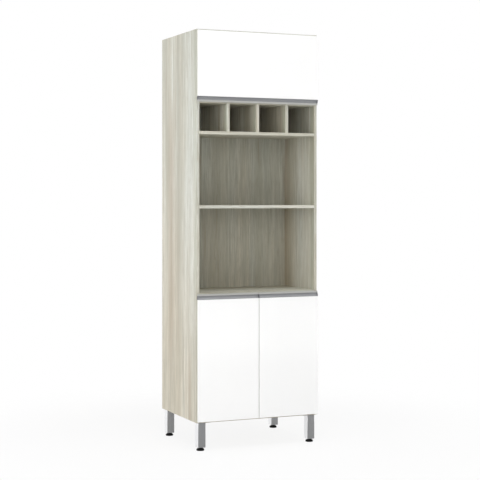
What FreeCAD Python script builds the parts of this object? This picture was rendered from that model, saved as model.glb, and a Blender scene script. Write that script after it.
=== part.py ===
import FreeCAD, Part
import math
import os

# Tall kitchen cabinet: board carcass on four legs, lift-up front, bottle rack, two niches, two doors.
# Frame: +Z up, fronts face -Y, origin on the floor under the middle of the cabinet. Millimetres.

# Overall sizes, with the fronts closed
WIDTH = 700.0
DEPTH = 545.0
HEIGHT = 2205.0

# Board thicknesses
BOARD = 16.0
FRONT_BOARD = 15.0
REAR_BOARD = 3.0

# Legs, and the parts in which the spaces share the clear height above them
LEG_HEIGHT = 148.0
BASE_PARTS = 646
LOWER_NICHE_PARTS = 442
UPPER_NICHE_PARTS = 373
RACK_PARTS = 147
FLAP_PARTS = 353
HORIZONTAL_BOARDS = 6
NICHE_DEPTH = 371.0
DIVIDER_NAMES = ("left", "middle", "right")

# Gaps round the fronts
FRONT_STANDOFF = 3.0
SIDE_REVEAL = 1.0
CENTRE_GAP = 3.0
TOP_REVEAL = 6.0
BOTTOM_REVEAL = 6.5
LIP_REVEAL = 5.5
REAR_REVEAL = 1.0
HINGE_EDGE_ROUND = 1.5

# Grip profile along the free edge of each front
COVE_HEIGHT = 20.0
COVE_DEPTH = 9.0
LIP_HEIGHT = 9.0
LIP_SETBACK = 6.0
PROFILE_WALL = 2.0
PROFILE_LAND = 1.5
PROFILE_ROOT = 5.5
PROFILE_SEAT_DEPTH = 13.0
TONGUE_THICK = 2.0
TONGUE_LENGTH = 8.0
GROOVE_CLEARANCE = 0.1

# Wood screw used for every bracket and plate
SCREW_RADIUS = 1.75
SCREW_LENGTH = 12.0
SCREW_HEAD_RADIUS = 3.4
SCREW_HEAD_HEIGHT = 1.6
SCREW_RECESS_WIDTH = 0.9
SCREW_RECESS_DEPTH = 0.8
SCREW_CLEARANCE = 0.1

# Concealed hinge
PIN_INSET = 7.5
PIN_RADIUS = 1.25
PIN_RUNNING_CLEARANCE = 0.05
PIN_SEAT_CLEARANCE = 0.02
CUP_RADIUS = 17.5
CUP_POCKET_DEPTH = 12.0
CUP_EDGE_DISTANCE = 3.0
CUP_WALL = 1.0
CUP_CLEARANCE = 0.1
EAR_THICK = 2.0
EAR_CLEARANCE = 0.3
EAR_HALF_LENGTH = 3.0
CUP_FLANGE_THICK = 1.0
CUP_FLANGE_HALF = 28.0
CUP_FLANGE_FRONT = 4.0
CUP_FLANGE_BACK = 14.0
CUP_SCREW_SPREAD = 24.0
CUP_SCREW_OFFSET = 6.0
ARM_WIDTH = 8.0
ARM_THICK = 2.0
ARM_EYE_RADIUS = 2.5
ARM_OFFSET = 10.0
ARM_PAST_PLATE_LINE = 8.5
PLATE_LINE = 37.0
PLATE_WING_WIDTH = 20.0
PLATE_WING_HALF = 22.0
PLATE_SADDLE_HALF = 6.0
PLATE_SADDLE_LENGTH = 36.0
PLATE_SCREW_SPREAD = 16.0
DOOR_HINGE_END_DISTANCE = 96.0
FLAP_HINGE_X = 250.0

# Gas struts that hold the flap up
STRUT_ARM = 150.0
STRUT_SIDE_ANGLE = 82.0
STRUT_FLAP_STANDOFF = 14.0
STRUT_SIDE_DISTANCE = 13.0
STRUT_TUBE_RADIUS = 7.5
STRUT_TUBE_WALL = 1.0
STRUT_TUBE_START = 9.0
STRUT_TUBE_END = 2.0
STRUT_GUIDE_LENGTH = 4.0
STRUT_ROD_RADIUS = 3.0
STRUT_ROD_CLEARANCE = 0.15
STRUT_PISTON_LENGTH = 8.0
STRUT_PISTON_CLEARANCE = 0.2
STRUT_SPARE_STROKE = 4.0
STRUT_EYE_RADIUS = 6.5
STRUT_EYE_WIDTH = 8.0
STRUT_NECK_RADIUS = 4.0
STUD_RADIUS = 3.0
STUD_RUNNING_CLEARANCE = 0.05
STUD_END = 1.0
BRACKET_THICK = 2.0
SIDE_BRACKET_HALF_LENGTH = 20.0
SIDE_BRACKET_HALF_HEIGHT = 12.0
SIDE_BRACKET_SCREW = 14.0
FLAP_BRACKET_WIDTH = 26.0
FLAP_BRACKET_HALF_HEIGHT = 13.0
FLAP_BRACKET_SCREW = 8.0
FLAP_EAR_GAP = 2.0
FLAP_EAR_HALF_HEIGHT = 6.0

# Knock-down joints
CAM_RADIUS = 7.5
CAM_POCKET_DEPTH = 13.0
CAM_HEIGHT = 12.8
CAM_CLEARANCE = 0.05
CAM_BACKSET = 34.0
CAM_EDGE_DISTANCE = 96.0
CAM_DRIVE_WIDTH = 1.4
CAM_DRIVE_DEPTH = 2.0
BOLT_THREAD_RADIUS = 2.5
BOLT_THREAD_LENGTH = 11.0
BOLT_SHANK_RADIUS = 3.0
BOLT_HEAD_RADIUS = 3.4
BOLT_HEAD_LENGTH = 3.0
BOLT_BORE_RADIUS = 4.0
BOLT_SLOT_CLEARANCE = 0.3
DOWEL_RADIUS = 4.0
DOWEL_IN_SIDE = 11.0
DOWEL_IN_PANEL = 19.0
DIVIDER_DOWEL_RADIUS = 3.0
DIVIDER_DOWEL_IN_PANEL = 9.0
DIVIDER_DOWEL_IN_DIVIDER = 15.0
DIVIDER_DOWEL_EDGE_DISTANCE = 60.0
JOINT_CLEARANCE = 0.05
HOLE_SPARE = 0.4

# Adjustable shelf in the base
BASE_SHELF_RISE = 300.0
BASE_SHELF_SETBACK = 30.0
BASE_SHELF_REAR_GAP = 5.0
BASE_SHELF_SIDE_GAP = 1.0
SHELF_PIN_RADIUS = 2.5
SHELF_PIN_IN_SIDE = 9.0
SHELF_PIN_OUT = 8.0
SHELF_PIN_EDGE_DISTANCE = 50.0
SHELF_PIN_PITCH = 32.0
SHELF_PIN_STEPS = (-2, -1, 0, 1, 2)

# Legs and feet
LEG_SIZE = 42.0
LEG_WALL = 1.5
LEG_CORNER_ROUND = 1.0
LEG_SIDE_INSET = 11.0
LEG_FRONT_INSET = 5.0
LEG_REAR_INSET = 10.0
LEG_CLEAR_OF_FLOOR = 17.0
LEG_FIT_CLEARANCE = 0.1
LEG_PLATE_THICK = 2.0
LEG_PLATE_LAP = 26.0
LEG_SPIGOT_HEIGHT = 15.0
LEG_SPIGOT_WALL = 2.0
LEG_PLUG_HEIGHT = 15.0
FOOT_PAD_RADIUS = 20.0
FOOT_PAD_HEIGHT = 9.0
FOOT_PAD_ROUND = 2.5
FOOT_HUB_RADIUS = 15.0
FOOT_NUT_HEIGHT = 5.0
FOOT_NUT_ACROSS_FLATS = 13.0
FOOT_STEM_RADIUS = 4.0
FOOT_STEM_CLEARANCE = 0.06
FOOT_STEM_IN_PAD = 7.0
FOOT_STEM_ABOVE_PLUG = 12.0
HEX_SIDES = 6

# Soft bumpers between the fronts and the carcass
BUMPER_RADIUS = 4.0
BUMPER_GAP = 0.2
BUMPER_CENTRE_DISTANCE = 20.0
BUMPER_ABOVE_FLAP_EDGE = 16.0

# Wall brackets under the top panel
WALL_BRACKET_X = 200.0
WALL_BRACKET_WIDTH = 40.0
WALL_BRACKET_LENGTH = 32.0
WALL_BRACKET_HEIGHT = 42.0
WALL_BRACKET_SCREW_SPREAD = 12.0
WALL_BRACKET_SCREW_FROM_REAR = 20.0
WALL_HOLE_RADIUS = 3.0
WALL_HOLE_DROP = 26.0
WALL_HOLE_REAR_CLEARANCE = 1.5

X_AXIS = FreeCAD.Vector(1, 0, 0)
Y_AXIS = FreeCAD.Vector(0, 1, 0)
Z_AXIS = FreeCAD.Vector(0, 0, 1)
ORIGIN = FreeCAD.Vector(0, 0, 0)
QUARTER_TURN = 90.0
PARALLEL_TOLERANCE = 1e-6

# Places worked out from the sizes above
HALF_WIDTH = WIDTH / 2
INNER_X = HALF_WIDTH - BOARD
FRONT_Y = -DEPTH / 2
FRONT_BACK_Y = FRONT_Y + FRONT_BOARD
CARCASS_FRONT_Y = FRONT_BACK_Y + FRONT_STANDOFF
REAR_Y = DEPTH / 2
CARCASS_REAR_Y = REAR_Y - REAR_BOARD
NICHE_BACK_Y = CARCASS_FRONT_Y + NICHE_DEPTH

ALL_PARTS = BASE_PARTS + LOWER_NICHE_PARTS + UPPER_NICHE_PARTS + RACK_PARTS + FLAP_PARTS
CLEAR_HEIGHT = HEIGHT - LEG_HEIGHT - HORIZONTAL_BOARDS * BOARD
BASE_CLEAR = CLEAR_HEIGHT * BASE_PARTS / ALL_PARTS
LOWER_NICHE_CLEAR = CLEAR_HEIGHT * LOWER_NICHE_PARTS / ALL_PARTS
UPPER_NICHE_CLEAR = CLEAR_HEIGHT * UPPER_NICHE_PARTS / ALL_PARTS
RACK_CLEAR = CLEAR_HEIGHT * RACK_PARTS / ALL_PARTS

BOTTOM_Z = LEG_HEIGHT
BASE_FLOOR_Z = BOTTOM_Z + BOARD
NICHE_FLOOR_Z = BASE_FLOOR_Z + BASE_CLEAR
SHELF_Z = NICHE_FLOOR_Z + BOARD + LOWER_NICHE_CLEAR
RACK_FLOOR_Z = SHELF_Z + BOARD + UPPER_NICHE_CLEAR
RACK_CEILING_Z = RACK_FLOOR_Z + BOARD + RACK_CLEAR
TOP_Z = HEIGHT - BOARD

PROFILE_HEIGHT = COVE_HEIGHT + LIP_HEIGHT
DOOR_BOTTOM_Z = BOTTOM_Z + BOTTOM_REVEAL
DOOR_TOP_Z = NICHE_FLOOR_Z + BOARD - LIP_REVEAL - PROFILE_HEIGHT
DOOR_OUTER_X = HALF_WIDTH - SIDE_REVEAL
FLAP_BOTTOM_Z = RACK_CEILING_Z + LIP_REVEAL + PROFILE_HEIGHT
FLAP_TOP_Z = HEIGHT - TOP_REVEAL

PIN_Y = FRONT_Y + FRONT_BOARD / 2
DOOR_PIN_X = DOOR_OUTER_X - PIN_INSET
FLAP_PIN_Z = FLAP_TOP_Z - PIN_INSET
DOOR_HINGE_HEIGHTS = (DOOR_BOTTOM_Z + DOOR_HINGE_END_DISTANCE, DOOR_TOP_Z - DOOR_HINGE_END_DISTANCE)

LEG_OUTER_X = HALF_WIDTH - LEG_SIDE_INSET
LEG_CENTRE_X = LEG_OUTER_X - LEG_SIZE / 2
FRONT_LEG_Y = CARCASS_FRONT_Y + LEG_FRONT_INSET + LEG_SIZE / 2
REAR_LEG_Y = CARCASS_REAR_Y - LEG_REAR_INSET - LEG_SIZE / 2


def vector(x, y, z):
    return FreeCAD.Vector(x, y, z)


def box(x0, x1, y0, y1, z0, z1):
    """Block between three pairs of coordinates."""
    return Part.makeBox(x1 - x0, y1 - y0, z1 - z0, vector(x0, y0, z0))


def bar(start, direction, radius, length):
    """Round bar from a start point along a direction."""
    return Part.makeCylinder(radius, length, start, direction)


def mirrored(shapes):
    """The same shapes on the other side of the cabinet's middle plane."""
    return [shape.mirror(ORIGIN, X_AXIS) for shape in shapes]


def both_sides(shapes):
    """Shapes of the left half together with their mirror images."""
    return list(shapes) + mirrored(shapes)


def moved(shape, offset):
    copy = shape.copy()
    copy.translate(offset)
    return copy


def rounded(shape, radius, wanted):
    """Shape with the edges that a test picks rounded off."""
    edges = [edge for edge in shape.Edges if wanted(edge)]
    return shape.makeFillet(radius, edges)


def runs_along(edge, axis):
    """True for a straight edge parallel to an axis."""
    if edge.Curve.TypeId != "Part::GeomLine":
        return False
    return edge.Curve.Direction.cross(axis).Length < PARALLEL_TOLERANCE


# Screws

def screw(seat, direction):
    """Wood screw whose head rests at the seat and whose shank runs along the direction."""
    shank = bar(seat, direction, SCREW_RADIUS, SCREW_LENGTH)
    head = bar(seat, -direction, SCREW_HEAD_RADIUS, SCREW_HEAD_HEIGHT)
    tip = seat - direction * (SCREW_HEAD_HEIGHT - SCREW_RECESS_DEPTH)
    recess = bar(tip, -direction, SCREW_RECESS_WIDTH, SCREW_RECESS_DEPTH)
    return shank.fuse(head).cut(recess).removeSplitter()


def screw_hole(seat, direction):
    """Hole for a screw, from its seat to just past its tip."""
    return bar(seat, direction, SCREW_RADIUS + SCREW_CLEARANCE, SCREW_LENGTH + HOLE_SPARE)


# Hinge, drawn about its pin: X inward from the hinged edge, Y towards the carcass, Z along the pin

def cup_centre():
    """Distance of the cup's axis from the pin."""
    return CUP_EDGE_DISTANCE + CUP_RADIUS - PIN_INSET


def hinge_cup_screw_seats():
    x = cup_centre() + CUP_SCREW_OFFSET
    y = FRONT_BOARD / 2 + CUP_FLANGE_THICK
    return [vector(x, y, side * CUP_SCREW_SPREAD) for side in (-1, 1)]


def hinge_cup_pocket():
    start = vector(cup_centre(), FRONT_BOARD / 2, 0)
    return bar(start, -Y_AXIS, CUP_RADIUS, CUP_POCKET_DEPTH)


def hinge_cup():
    """Cup with its flange and the two ears that hold the pin."""
    back_y = FRONT_BOARD / 2
    mouth = vector(cup_centre(), back_y, 0)
    outer_radius = CUP_RADIUS - CUP_CLEARANCE
    depth = CUP_POCKET_DEPTH - CUP_CLEARANCE
    body = bar(mouth, -Y_AXIS, outer_radius, depth)
    flange = box(
        mouth.x - CUP_FLANGE_FRONT, mouth.x + CUP_FLANGE_BACK,
        back_y, back_y + CUP_FLANGE_THICK, -CUP_FLANGE_HALF, CUP_FLANGE_HALF,
    )
    flange_face = mouth + Y_AXIS * CUP_FLANGE_THICK
    hollow = bar(flange_face, -Y_AXIS, outer_radius - CUP_WALL, CUP_FLANGE_THICK + depth - CUP_WALL)
    shell = body.fuse(flange).cut(hollow)
    ear_inner = ARM_WIDTH / 2 + EAR_CLEARANCE
    ears = []
    for side in (-1, 1):
        near = side * ear_inner
        far = side * (ear_inner + EAR_THICK)
        ear = box(
            -EAR_HALF_LENGTH, EAR_HALF_LENGTH,
            back_y - depth, EAR_HALF_LENGTH, min(near, far), max(near, far),
        )
        ears.append(ear.common(body))
    pin_bore = bar(
        vector(0, 0, -CUP_RADIUS), Z_AXIS, PIN_RADIUS + PIN_SEAT_CLEARANCE, 2 * CUP_RADIUS,
    )
    holes = [screw_hole(seat, -Y_AXIS) for seat in hinge_cup_screw_seats()]
    return shell.fuse(ears).cut([pin_bore] + holes).removeSplitter()


def hinge_pin():
    half = ARM_WIDTH / 2 + EAR_CLEARANCE + EAR_THICK
    return bar(vector(0, 0, -half), Z_AXIS, PIN_RADIUS, 2 * half)


def hinge_arm():
    """Cranked arm: an eye round the pin, a step inward, then a strip back along the carcass."""
    half = ARM_WIDTH / 2
    eye = bar(vector(0, 0, -half), Z_AXIS, ARM_EYE_RADIUS, ARM_WIDTH)
    outer = ARM_OFFSET + ARM_THICK
    step = box(0, outer, -ARM_THICK / 2, ARM_THICK / 2, -half, half)
    strip_end = plate_line() + ARM_PAST_PLATE_LINE
    strip = box(ARM_OFFSET, outer, -ARM_THICK / 2, strip_end, -half, half)
    bore = bar(vector(0, 0, -half), Z_AXIS, PIN_RADIUS + PIN_RUNNING_CLEARANCE, ARM_WIDTH)
    return eye.fuse([step, strip]).cut(bore).removeSplitter()


def plate_line():
    """Distance of the mounting plate's screws from the pin, towards the carcass."""
    return CARCASS_FRONT_Y - PIN_Y + PLATE_LINE


def hinge_plate_screw_seats():
    return [vector(ARM_OFFSET, plate_line(), side * PLATE_SCREW_SPREAD) for side in (-1, 1)]


def hinge_plate(board_face):
    """Cross-shaped mounting plate between the carcass board and the arm."""
    line = plate_line()
    wings = box(
        board_face, ARM_OFFSET, line - PLATE_WING_WIDTH / 2, line + PLATE_WING_WIDTH / 2,
        -PLATE_WING_HALF, PLATE_WING_HALF,
    )
    saddle = box(
        board_face, ARM_OFFSET, line - PLATE_SADDLE_LENGTH / 2, line + PLATE_SADDLE_LENGTH / 2,
        -PLATE_SADDLE_HALF, PLATE_SADDLE_HALF,
    )
    holes = [screw_hole(seat, -X_AXIS) for seat in hinge_plate_screw_seats()]
    return wings.fuse(saddle).cut(holes).removeSplitter()


def at_left_door(shape, height):
    return moved(shape, vector(-DOOR_PIN_X, PIN_Y, height))


def at_flap(shape, x):
    copy = shape.copy()
    copy.rotate(ORIGIN, Y_AXIS, QUARTER_TURN)
    return moved(copy, vector(x, PIN_Y, FLAP_PIN_Z))


def on_left_door(shape):
    return [at_left_door(shape, height) for height in DOOR_HINGE_HEIGHTS]


def on_flap(shape):
    return [at_flap(shape, side * FLAP_HINGE_X) for side in (-1, 1)]


DOOR_PLATE_FACE = BOARD - SIDE_REVEAL - PIN_INSET
FLAP_PLATE_FACE = BOARD - TOP_REVEAL - PIN_INSET
CUP_SCREWS = Part.makeCompound([screw(seat, -Y_AXIS) for seat in hinge_cup_screw_seats()])
CUP_SCREW_HOLES = Part.makeCompound([screw_hole(seat, -Y_AXIS) for seat in hinge_cup_screw_seats()])
PLATE_SCREWS = Part.makeCompound([screw(seat, -X_AXIS) for seat in hinge_plate_screw_seats()])
PLATE_SCREW_HOLES = Part.makeCompound([screw_hole(seat, -X_AXIS) for seat in hinge_plate_screw_seats()])


# Fronts

def grip_profile(x0, x1, edge_z, up):
    """Cove and lip profile on a front's free edge, with a tongue in the edge's groove.

    up is 1 where the profile stands on the edge and -1 where it hangs from it.
    """
    def point(depth, rise):
        return vector(x0, FRONT_Y + depth, edge_z + up * rise)

    lip_back = LIP_SETBACK + PROFILE_WALL
    cove_middle = (PROFILE_LAND + COVE_HEIGHT) / 2
    tongue_front = (FRONT_BOARD - TONGUE_THICK) / 2
    tongue_back = tongue_front + TONGUE_THICK
    cove = Part.Arc(point(0, PROFILE_LAND), point(COVE_DEPTH, cove_middle), point(LIP_SETBACK, COVE_HEIGHT))
    cove_back = Part.Arc(
        point(lip_back, COVE_HEIGHT),
        point(COVE_DEPTH + PROFILE_WALL, cove_middle),
        point(PROFILE_ROOT, PROFILE_WALL),
    )
    lip = Part.makePolygon([
        point(LIP_SETBACK, COVE_HEIGHT), point(LIP_SETBACK, PROFILE_HEIGHT),
        point(lip_back, PROFILE_HEIGHT), point(lip_back, COVE_HEIGHT),
    ])
    seat = Part.makePolygon([
        point(PROFILE_ROOT, PROFILE_WALL),
        point(PROFILE_SEAT_DEPTH, PROFILE_WALL), point(PROFILE_SEAT_DEPTH, 0),
        point(tongue_back, 0), point(tongue_back, -TONGUE_LENGTH),
        point(tongue_front, -TONGUE_LENGTH), point(tongue_front, 0),
        point(0, 0), point(0, PROFILE_LAND),
    ])
    edges = [cove.toShape()] + lip.Edges + [cove_back.toShape()] + seat.Edges
    section = Part.Face(Part.Wire(Part.__sortEdges__(edges)))
    return section.extrude(X_AXIS * (x1 - x0))


def tongue_groove(x0, x1, edge_z, up):
    """Groove in a front's free edge for the profile's tongue."""
    half = TONGUE_THICK / 2 + GROOVE_CLEARANCE
    middle = FRONT_Y + FRONT_BOARD / 2
    end = edge_z - up * (TONGUE_LENGTH + GROOVE_CLEARANCE)
    return box(x0, x1, middle - half, middle + half, min(edge_z, end), max(edge_z, end))


def left_door():
    """Panel, grip profile, cups, pins and screws of the left door."""
    x0 = -DOOR_OUTER_X
    x1 = -CENTRE_GAP / 2
    panel = box(x0, x1, FRONT_Y, FRONT_BACK_Y, DOOR_BOTTOM_Z, DOOR_TOP_Z)

    def hinged_back_edge(edge):
        middle = edge.CenterOfMass
        return abs(middle.x - x0) < JOINT_CLEARANCE and abs(middle.y - FRONT_BACK_Y) < JOINT_CLEARANCE

    panel = rounded(panel, HINGE_EDGE_ROUND, hinged_back_edge)
    cuts = on_left_door(hinge_cup_pocket()) + on_left_door(CUP_SCREW_HOLES)
    cuts.append(tongue_groove(x0, x1, DOOR_TOP_Z, 1))
    return {
        "door_panel": [panel.cut(cuts)],
        "door_handle": [grip_profile(x0, x1, DOOR_TOP_Z, 1)],
        "hinge_cups": on_left_door(hinge_cup()),
        "hinge_pins": on_left_door(hinge_pin()),
        "cup_screws": on_left_door(CUP_SCREWS),
    }


# Gas struts, drawn from their pivots

def strut_flap_pivot():
    """Pivot on the flap, as depth and height from the flap's pin."""
    depth = FRONT_BOARD / 2 + STRUT_FLAP_STANDOFF
    return depth, -math.sqrt(STRUT_ARM ** 2 - depth ** 2)


def strut_side_pivot():
    """Pivot on the side panel, as depth and height from the flap's pin."""
    angle = math.radians(STRUT_SIDE_ANGLE)
    return STRUT_ARM * math.sin(angle), -STRUT_ARM * math.cos(angle)


def strut_lengths():
    """Distance between the pivots with the flap closed and with it open."""
    flap_depth, flap_height = strut_flap_pivot()
    side_depth, side_height = strut_side_pivot()
    closed = math.hypot(side_depth - flap_depth, side_height - flap_height)
    opened = math.hypot(side_depth - flap_height, side_height + flap_depth)
    return closed, opened


STRUT_X = INNER_X - STRUT_SIDE_DISTANCE
STRUT_CLOSED, STRUT_OPEN = strut_lengths()
STRUT_ROD_LENGTH = STRUT_CLOSED - STRUT_TUBE_START - STRUT_TUBE_END - STRUT_SPARE_STROKE
STRUT_TUBE_LENGTH = (
    STRUT_OPEN - STRUT_ROD_LENGTH + STRUT_PISTON_LENGTH + STRUT_SPARE_STROKE + STRUT_GUIDE_LENGTH
    - STRUT_TUBE_START
)


def strut_point(pivot):
    return vector(-STRUT_X, PIN_Y + pivot[0], FLAP_PIN_Z + pivot[1])


def strut_eye():
    half = STRUT_EYE_WIDTH / 2
    return bar(vector(-half, 0, 0), X_AXIS, STRUT_EYE_RADIUS, STRUT_EYE_WIDTH)


def strut_eye_bore():
    half = STRUT_EYE_WIDTH / 2
    return bar(vector(-half, 0, 0), X_AXIS, STUD_RADIUS + STUD_RUNNING_CLEARANCE, STRUT_EYE_WIDTH)


def strut_cylinder():
    """Pressure tube with its eye at the origin, pointing up."""
    bore_start = STRUT_TUBE_START + STRUT_TUBE_END
    bore_length = STRUT_TUBE_LENGTH - STRUT_TUBE_END - STRUT_GUIDE_LENGTH
    neck = bar(ORIGIN, Z_AXIS, STRUT_NECK_RADIUS, bore_start)
    tube = bar(vector(0, 0, STRUT_TUBE_START), Z_AXIS, STRUT_TUBE_RADIUS, STRUT_TUBE_LENGTH)
    bore_radius = STRUT_TUBE_RADIUS - STRUT_TUBE_WALL
    bore = bar(vector(0, 0, bore_start), Z_AXIS, bore_radius, bore_length)
    guide_radius = STRUT_ROD_RADIUS + STRUT_ROD_CLEARANCE
    guide = bar(vector(0, 0, bore_start), Z_AXIS, guide_radius, STRUT_TUBE_LENGTH)
    return strut_eye().fuse([neck, tube]).cut([strut_eye_bore(), bore, guide]).removeSplitter()


def strut_rod():
    """Piston rod with its eye at the origin, pointing down."""
    rod = bar(ORIGIN, -Z_AXIS, STRUT_ROD_RADIUS, STRUT_ROD_LENGTH)
    piston_start = vector(0, 0, STRUT_PISTON_LENGTH - STRUT_ROD_LENGTH)
    piston_radius = STRUT_TUBE_RADIUS - STRUT_TUBE_WALL - STRUT_PISTON_CLEARANCE
    piston = bar(piston_start, -Z_AXIS, piston_radius, STRUT_PISTON_LENGTH)
    return strut_eye().fuse([rod, piston]).cut(strut_eye_bore()).removeSplitter()


def along_strut(shape, pivot):
    """Turn a shape drawn along Z to the closed strut's line, with its eye on a pivot."""
    flap = strut_point(strut_flap_pivot())
    side = strut_point(strut_side_pivot())
    line = flap - side
    copy = shape.copy()
    copy.rotate(ORIGIN, X_AXIS, math.degrees(math.atan2(-line.y, line.z)))
    return moved(copy, strut_point(pivot))


def stud(from_x, pivot):
    """Pivot stud from a bracket to just past the strut's eye."""
    end_x = -STRUT_X + STRUT_EYE_WIDTH / 2 + STUD_END
    point = strut_point(pivot)
    return bar(vector(from_x, point.y, point.z), X_AXIS, STUD_RADIUS, end_x - from_x)


def side_bracket_screw_seats():
    point = strut_point(strut_side_pivot())
    x = -INNER_X + BRACKET_THICK
    return [vector(x, point.y + side * SIDE_BRACKET_SCREW, point.z) for side in (-1, 1)]


def strut_side_bracket():
    """Plate on the side panel with the strut's stud."""
    pivot = strut_side_pivot()
    point = strut_point(pivot)
    plate = box(
        -INNER_X, -INNER_X + BRACKET_THICK,
        point.y - SIDE_BRACKET_HALF_LENGTH, point.y + SIDE_BRACKET_HALF_LENGTH,
        point.z - SIDE_BRACKET_HALF_HEIGHT, point.z + SIDE_BRACKET_HALF_HEIGHT,
    )
    holes = [screw_hole(seat, -X_AXIS) for seat in side_bracket_screw_seats()]
    return plate.fuse(stud(-INNER_X, pivot)).cut(holes).removeSplitter()


def flap_ear_x():
    """Outer face of the flap bracket's ear."""
    return -STRUT_X - STRUT_EYE_WIDTH / 2 - FLAP_EAR_GAP - BRACKET_THICK


def flap_bracket_screw_seats():
    point = strut_point(strut_flap_pivot())
    x = flap_ear_x() + FLAP_BRACKET_WIDTH - SCREW_HEAD_RADIUS - BRACKET_THICK
    y = FRONT_BACK_Y + BRACKET_THICK
    return [vector(x, y, point.z + side * FLAP_BRACKET_SCREW) for side in (-1, 1)]


def strut_flap_bracket():
    """Angle on the flap's back with the strut's stud."""
    pivot = strut_flap_pivot()
    point = strut_point(pivot)
    x0 = flap_ear_x()
    plate = box(
        x0, x0 + FLAP_BRACKET_WIDTH, FRONT_BACK_Y, FRONT_BACK_Y + BRACKET_THICK,
        point.z - FLAP_BRACKET_HALF_HEIGHT, point.z + FLAP_BRACKET_HALF_HEIGHT,
    )
    ear = box(
        x0, x0 + BRACKET_THICK, FRONT_BACK_Y, point.y + FLAP_EAR_HALF_HEIGHT,
        point.z - FLAP_EAR_HALF_HEIGHT, point.z + FLAP_EAR_HALF_HEIGHT,
    )
    holes = [screw_hole(seat, -Y_AXIS) for seat in flap_bracket_screw_seats()]
    return plate.fuse([ear, stud(x0, pivot)]).cut(holes).removeSplitter()


def flap():
    """Panel, grip profile, hinge pieces and strut brackets of the lift-up front."""
    x0 = -DOOR_OUTER_X
    x1 = DOOR_OUTER_X
    panel = box(x0, x1, FRONT_Y, FRONT_BACK_Y, FLAP_BOTTOM_Z, FLAP_TOP_Z)

    def hinged_back_edge(edge):
        middle = edge.CenterOfMass
        at_top = abs(middle.z - FLAP_TOP_Z) < JOINT_CLEARANCE
        return at_top and abs(middle.y - FRONT_BACK_Y) < JOINT_CLEARANCE

    panel = rounded(panel, HINGE_EDGE_ROUND, hinged_back_edge)
    bracket_holes = [screw_hole(seat, -Y_AXIS) for seat in flap_bracket_screw_seats()]
    bracket_screws = [screw(seat, -Y_AXIS) for seat in flap_bracket_screw_seats()]
    cuts = on_flap(hinge_cup_pocket()) + on_flap(CUP_SCREW_HOLES) + both_sides(bracket_holes)
    cuts.append(tongue_groove(x0, x1, FLAP_BOTTOM_Z, -1))
    return {
        "flap_panel": [panel.cut(cuts)],
        "flap_handle": [grip_profile(x0, x1, FLAP_BOTTOM_Z, -1)],
        "flap_hinge_cups": on_flap(hinge_cup()),
        "flap_hinge_pins": on_flap(hinge_pin()),
        "flap_screws": on_flap(CUP_SCREWS) + both_sides(bracket_screws),
        "strut_flap_brackets": both_sides([strut_flap_bracket()]),
    }


# Carcass boards: name, underside height, rear end, and the face that the cam locks open to

HORIZONTALS = (
    ("bottom_panel", BOTTOM_Z, CARCASS_REAR_Y, -1),
    ("niche_floor_panel", NICHE_FLOOR_Z, CARCASS_REAR_Y, -1),
    ("niche_shelf", SHELF_Z, NICHE_BACK_Y, -1),
    ("rack_floor_panel", RACK_FLOOR_Z, NICHE_BACK_Y, 1),
    ("rack_ceiling_panel", RACK_CEILING_Z, CARCASS_REAR_Y, 1),
    ("top_panel", TOP_Z, CARCASS_REAR_Y, -1),
)


def cam_lock(face, opens):
    """Round cam with a slot for the bolt's head; face is its place in the board's open face."""
    radius = CAM_RADIUS - CAM_CLEARANCE
    middle_z = face.z - opens * BOARD / 2
    slot_half = BOLT_HEAD_RADIUS + BOLT_SLOT_CLEARANCE
    body = bar(face, Z_AXIS * -opens, radius, CAM_HEIGHT)
    slot = box(
        face.x - CAM_RADIUS, face.x + slot_half, face.y - slot_half, face.y + slot_half,
        middle_z - slot_half, middle_z + slot_half,
    )
    drive_end = face.z - opens * CAM_DRIVE_DEPTH
    drive_half = radius - CAM_DRIVE_WIDTH
    low = min(face.z, drive_end)
    high = max(face.z, drive_end)
    half = CAM_DRIVE_WIDTH / 2
    drives = [
        box(face.x - half, face.x + half, face.y - drive_half, face.y + drive_half, low, high),
        box(face.x - drive_half, face.x + drive_half, face.y - half, face.y + half, low, high),
    ]
    return body.cut([slot] + drives)


def cam_bolt(side_face):
    """Bolt screwed into the left side panel, with its head in the cam."""
    thread = bar(side_face, -X_AXIS, BOLT_THREAD_RADIUS - JOINT_CLEARANCE, BOLT_THREAD_LENGTH)
    shank = bar(side_face, X_AXIS, BOLT_SHANK_RADIUS - JOINT_CLEARANCE, CAM_BACKSET)
    head_start = side_face + X_AXIS * (CAM_BACKSET - BOLT_HEAD_LENGTH)
    head = bar(head_start, X_AXIS, BOLT_HEAD_RADIUS, BOLT_HEAD_LENGTH)
    return thread.fuse([shank, head]).removeSplitter()


def end_joints(z, rear_y, opens):
    """Cams, bolts, dowel and the cuts for them at the left end of a horizontal board."""
    middle_z = z + BOARD / 2
    face_z = z + BOARD if opens > 0 else z
    joints = {"cams": [], "bolts": [], "dowels": [], "board_cuts": [], "side_cuts": []}
    for y in (CARCASS_FRONT_Y + CAM_EDGE_DISTANCE, rear_y - CAM_EDGE_DISTANCE):
        side_face = vector(-INNER_X, y, middle_z)
        cam_face = vector(-INNER_X + CAM_BACKSET, y, face_z)
        joints["cams"].append(cam_lock(cam_face, opens))
        joints["bolts"].append(cam_bolt(side_face))
        joints["board_cuts"].append(bar(cam_face, Z_AXIS * -opens, CAM_RADIUS, CAM_POCKET_DEPTH))
        joints["board_cuts"].append(bar(side_face, X_AXIS, BOLT_BORE_RADIUS, CAM_BACKSET))
        hole_depth = BOLT_THREAD_LENGTH + HOLE_SPARE
        joints["side_cuts"].append(bar(side_face, -X_AXIS, BOLT_THREAD_RADIUS, hole_depth))
    centre = vector(-INNER_X, (CARCASS_FRONT_Y + rear_y) / 2, middle_z)
    add_side_dowel(joints, centre)
    return joints


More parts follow.
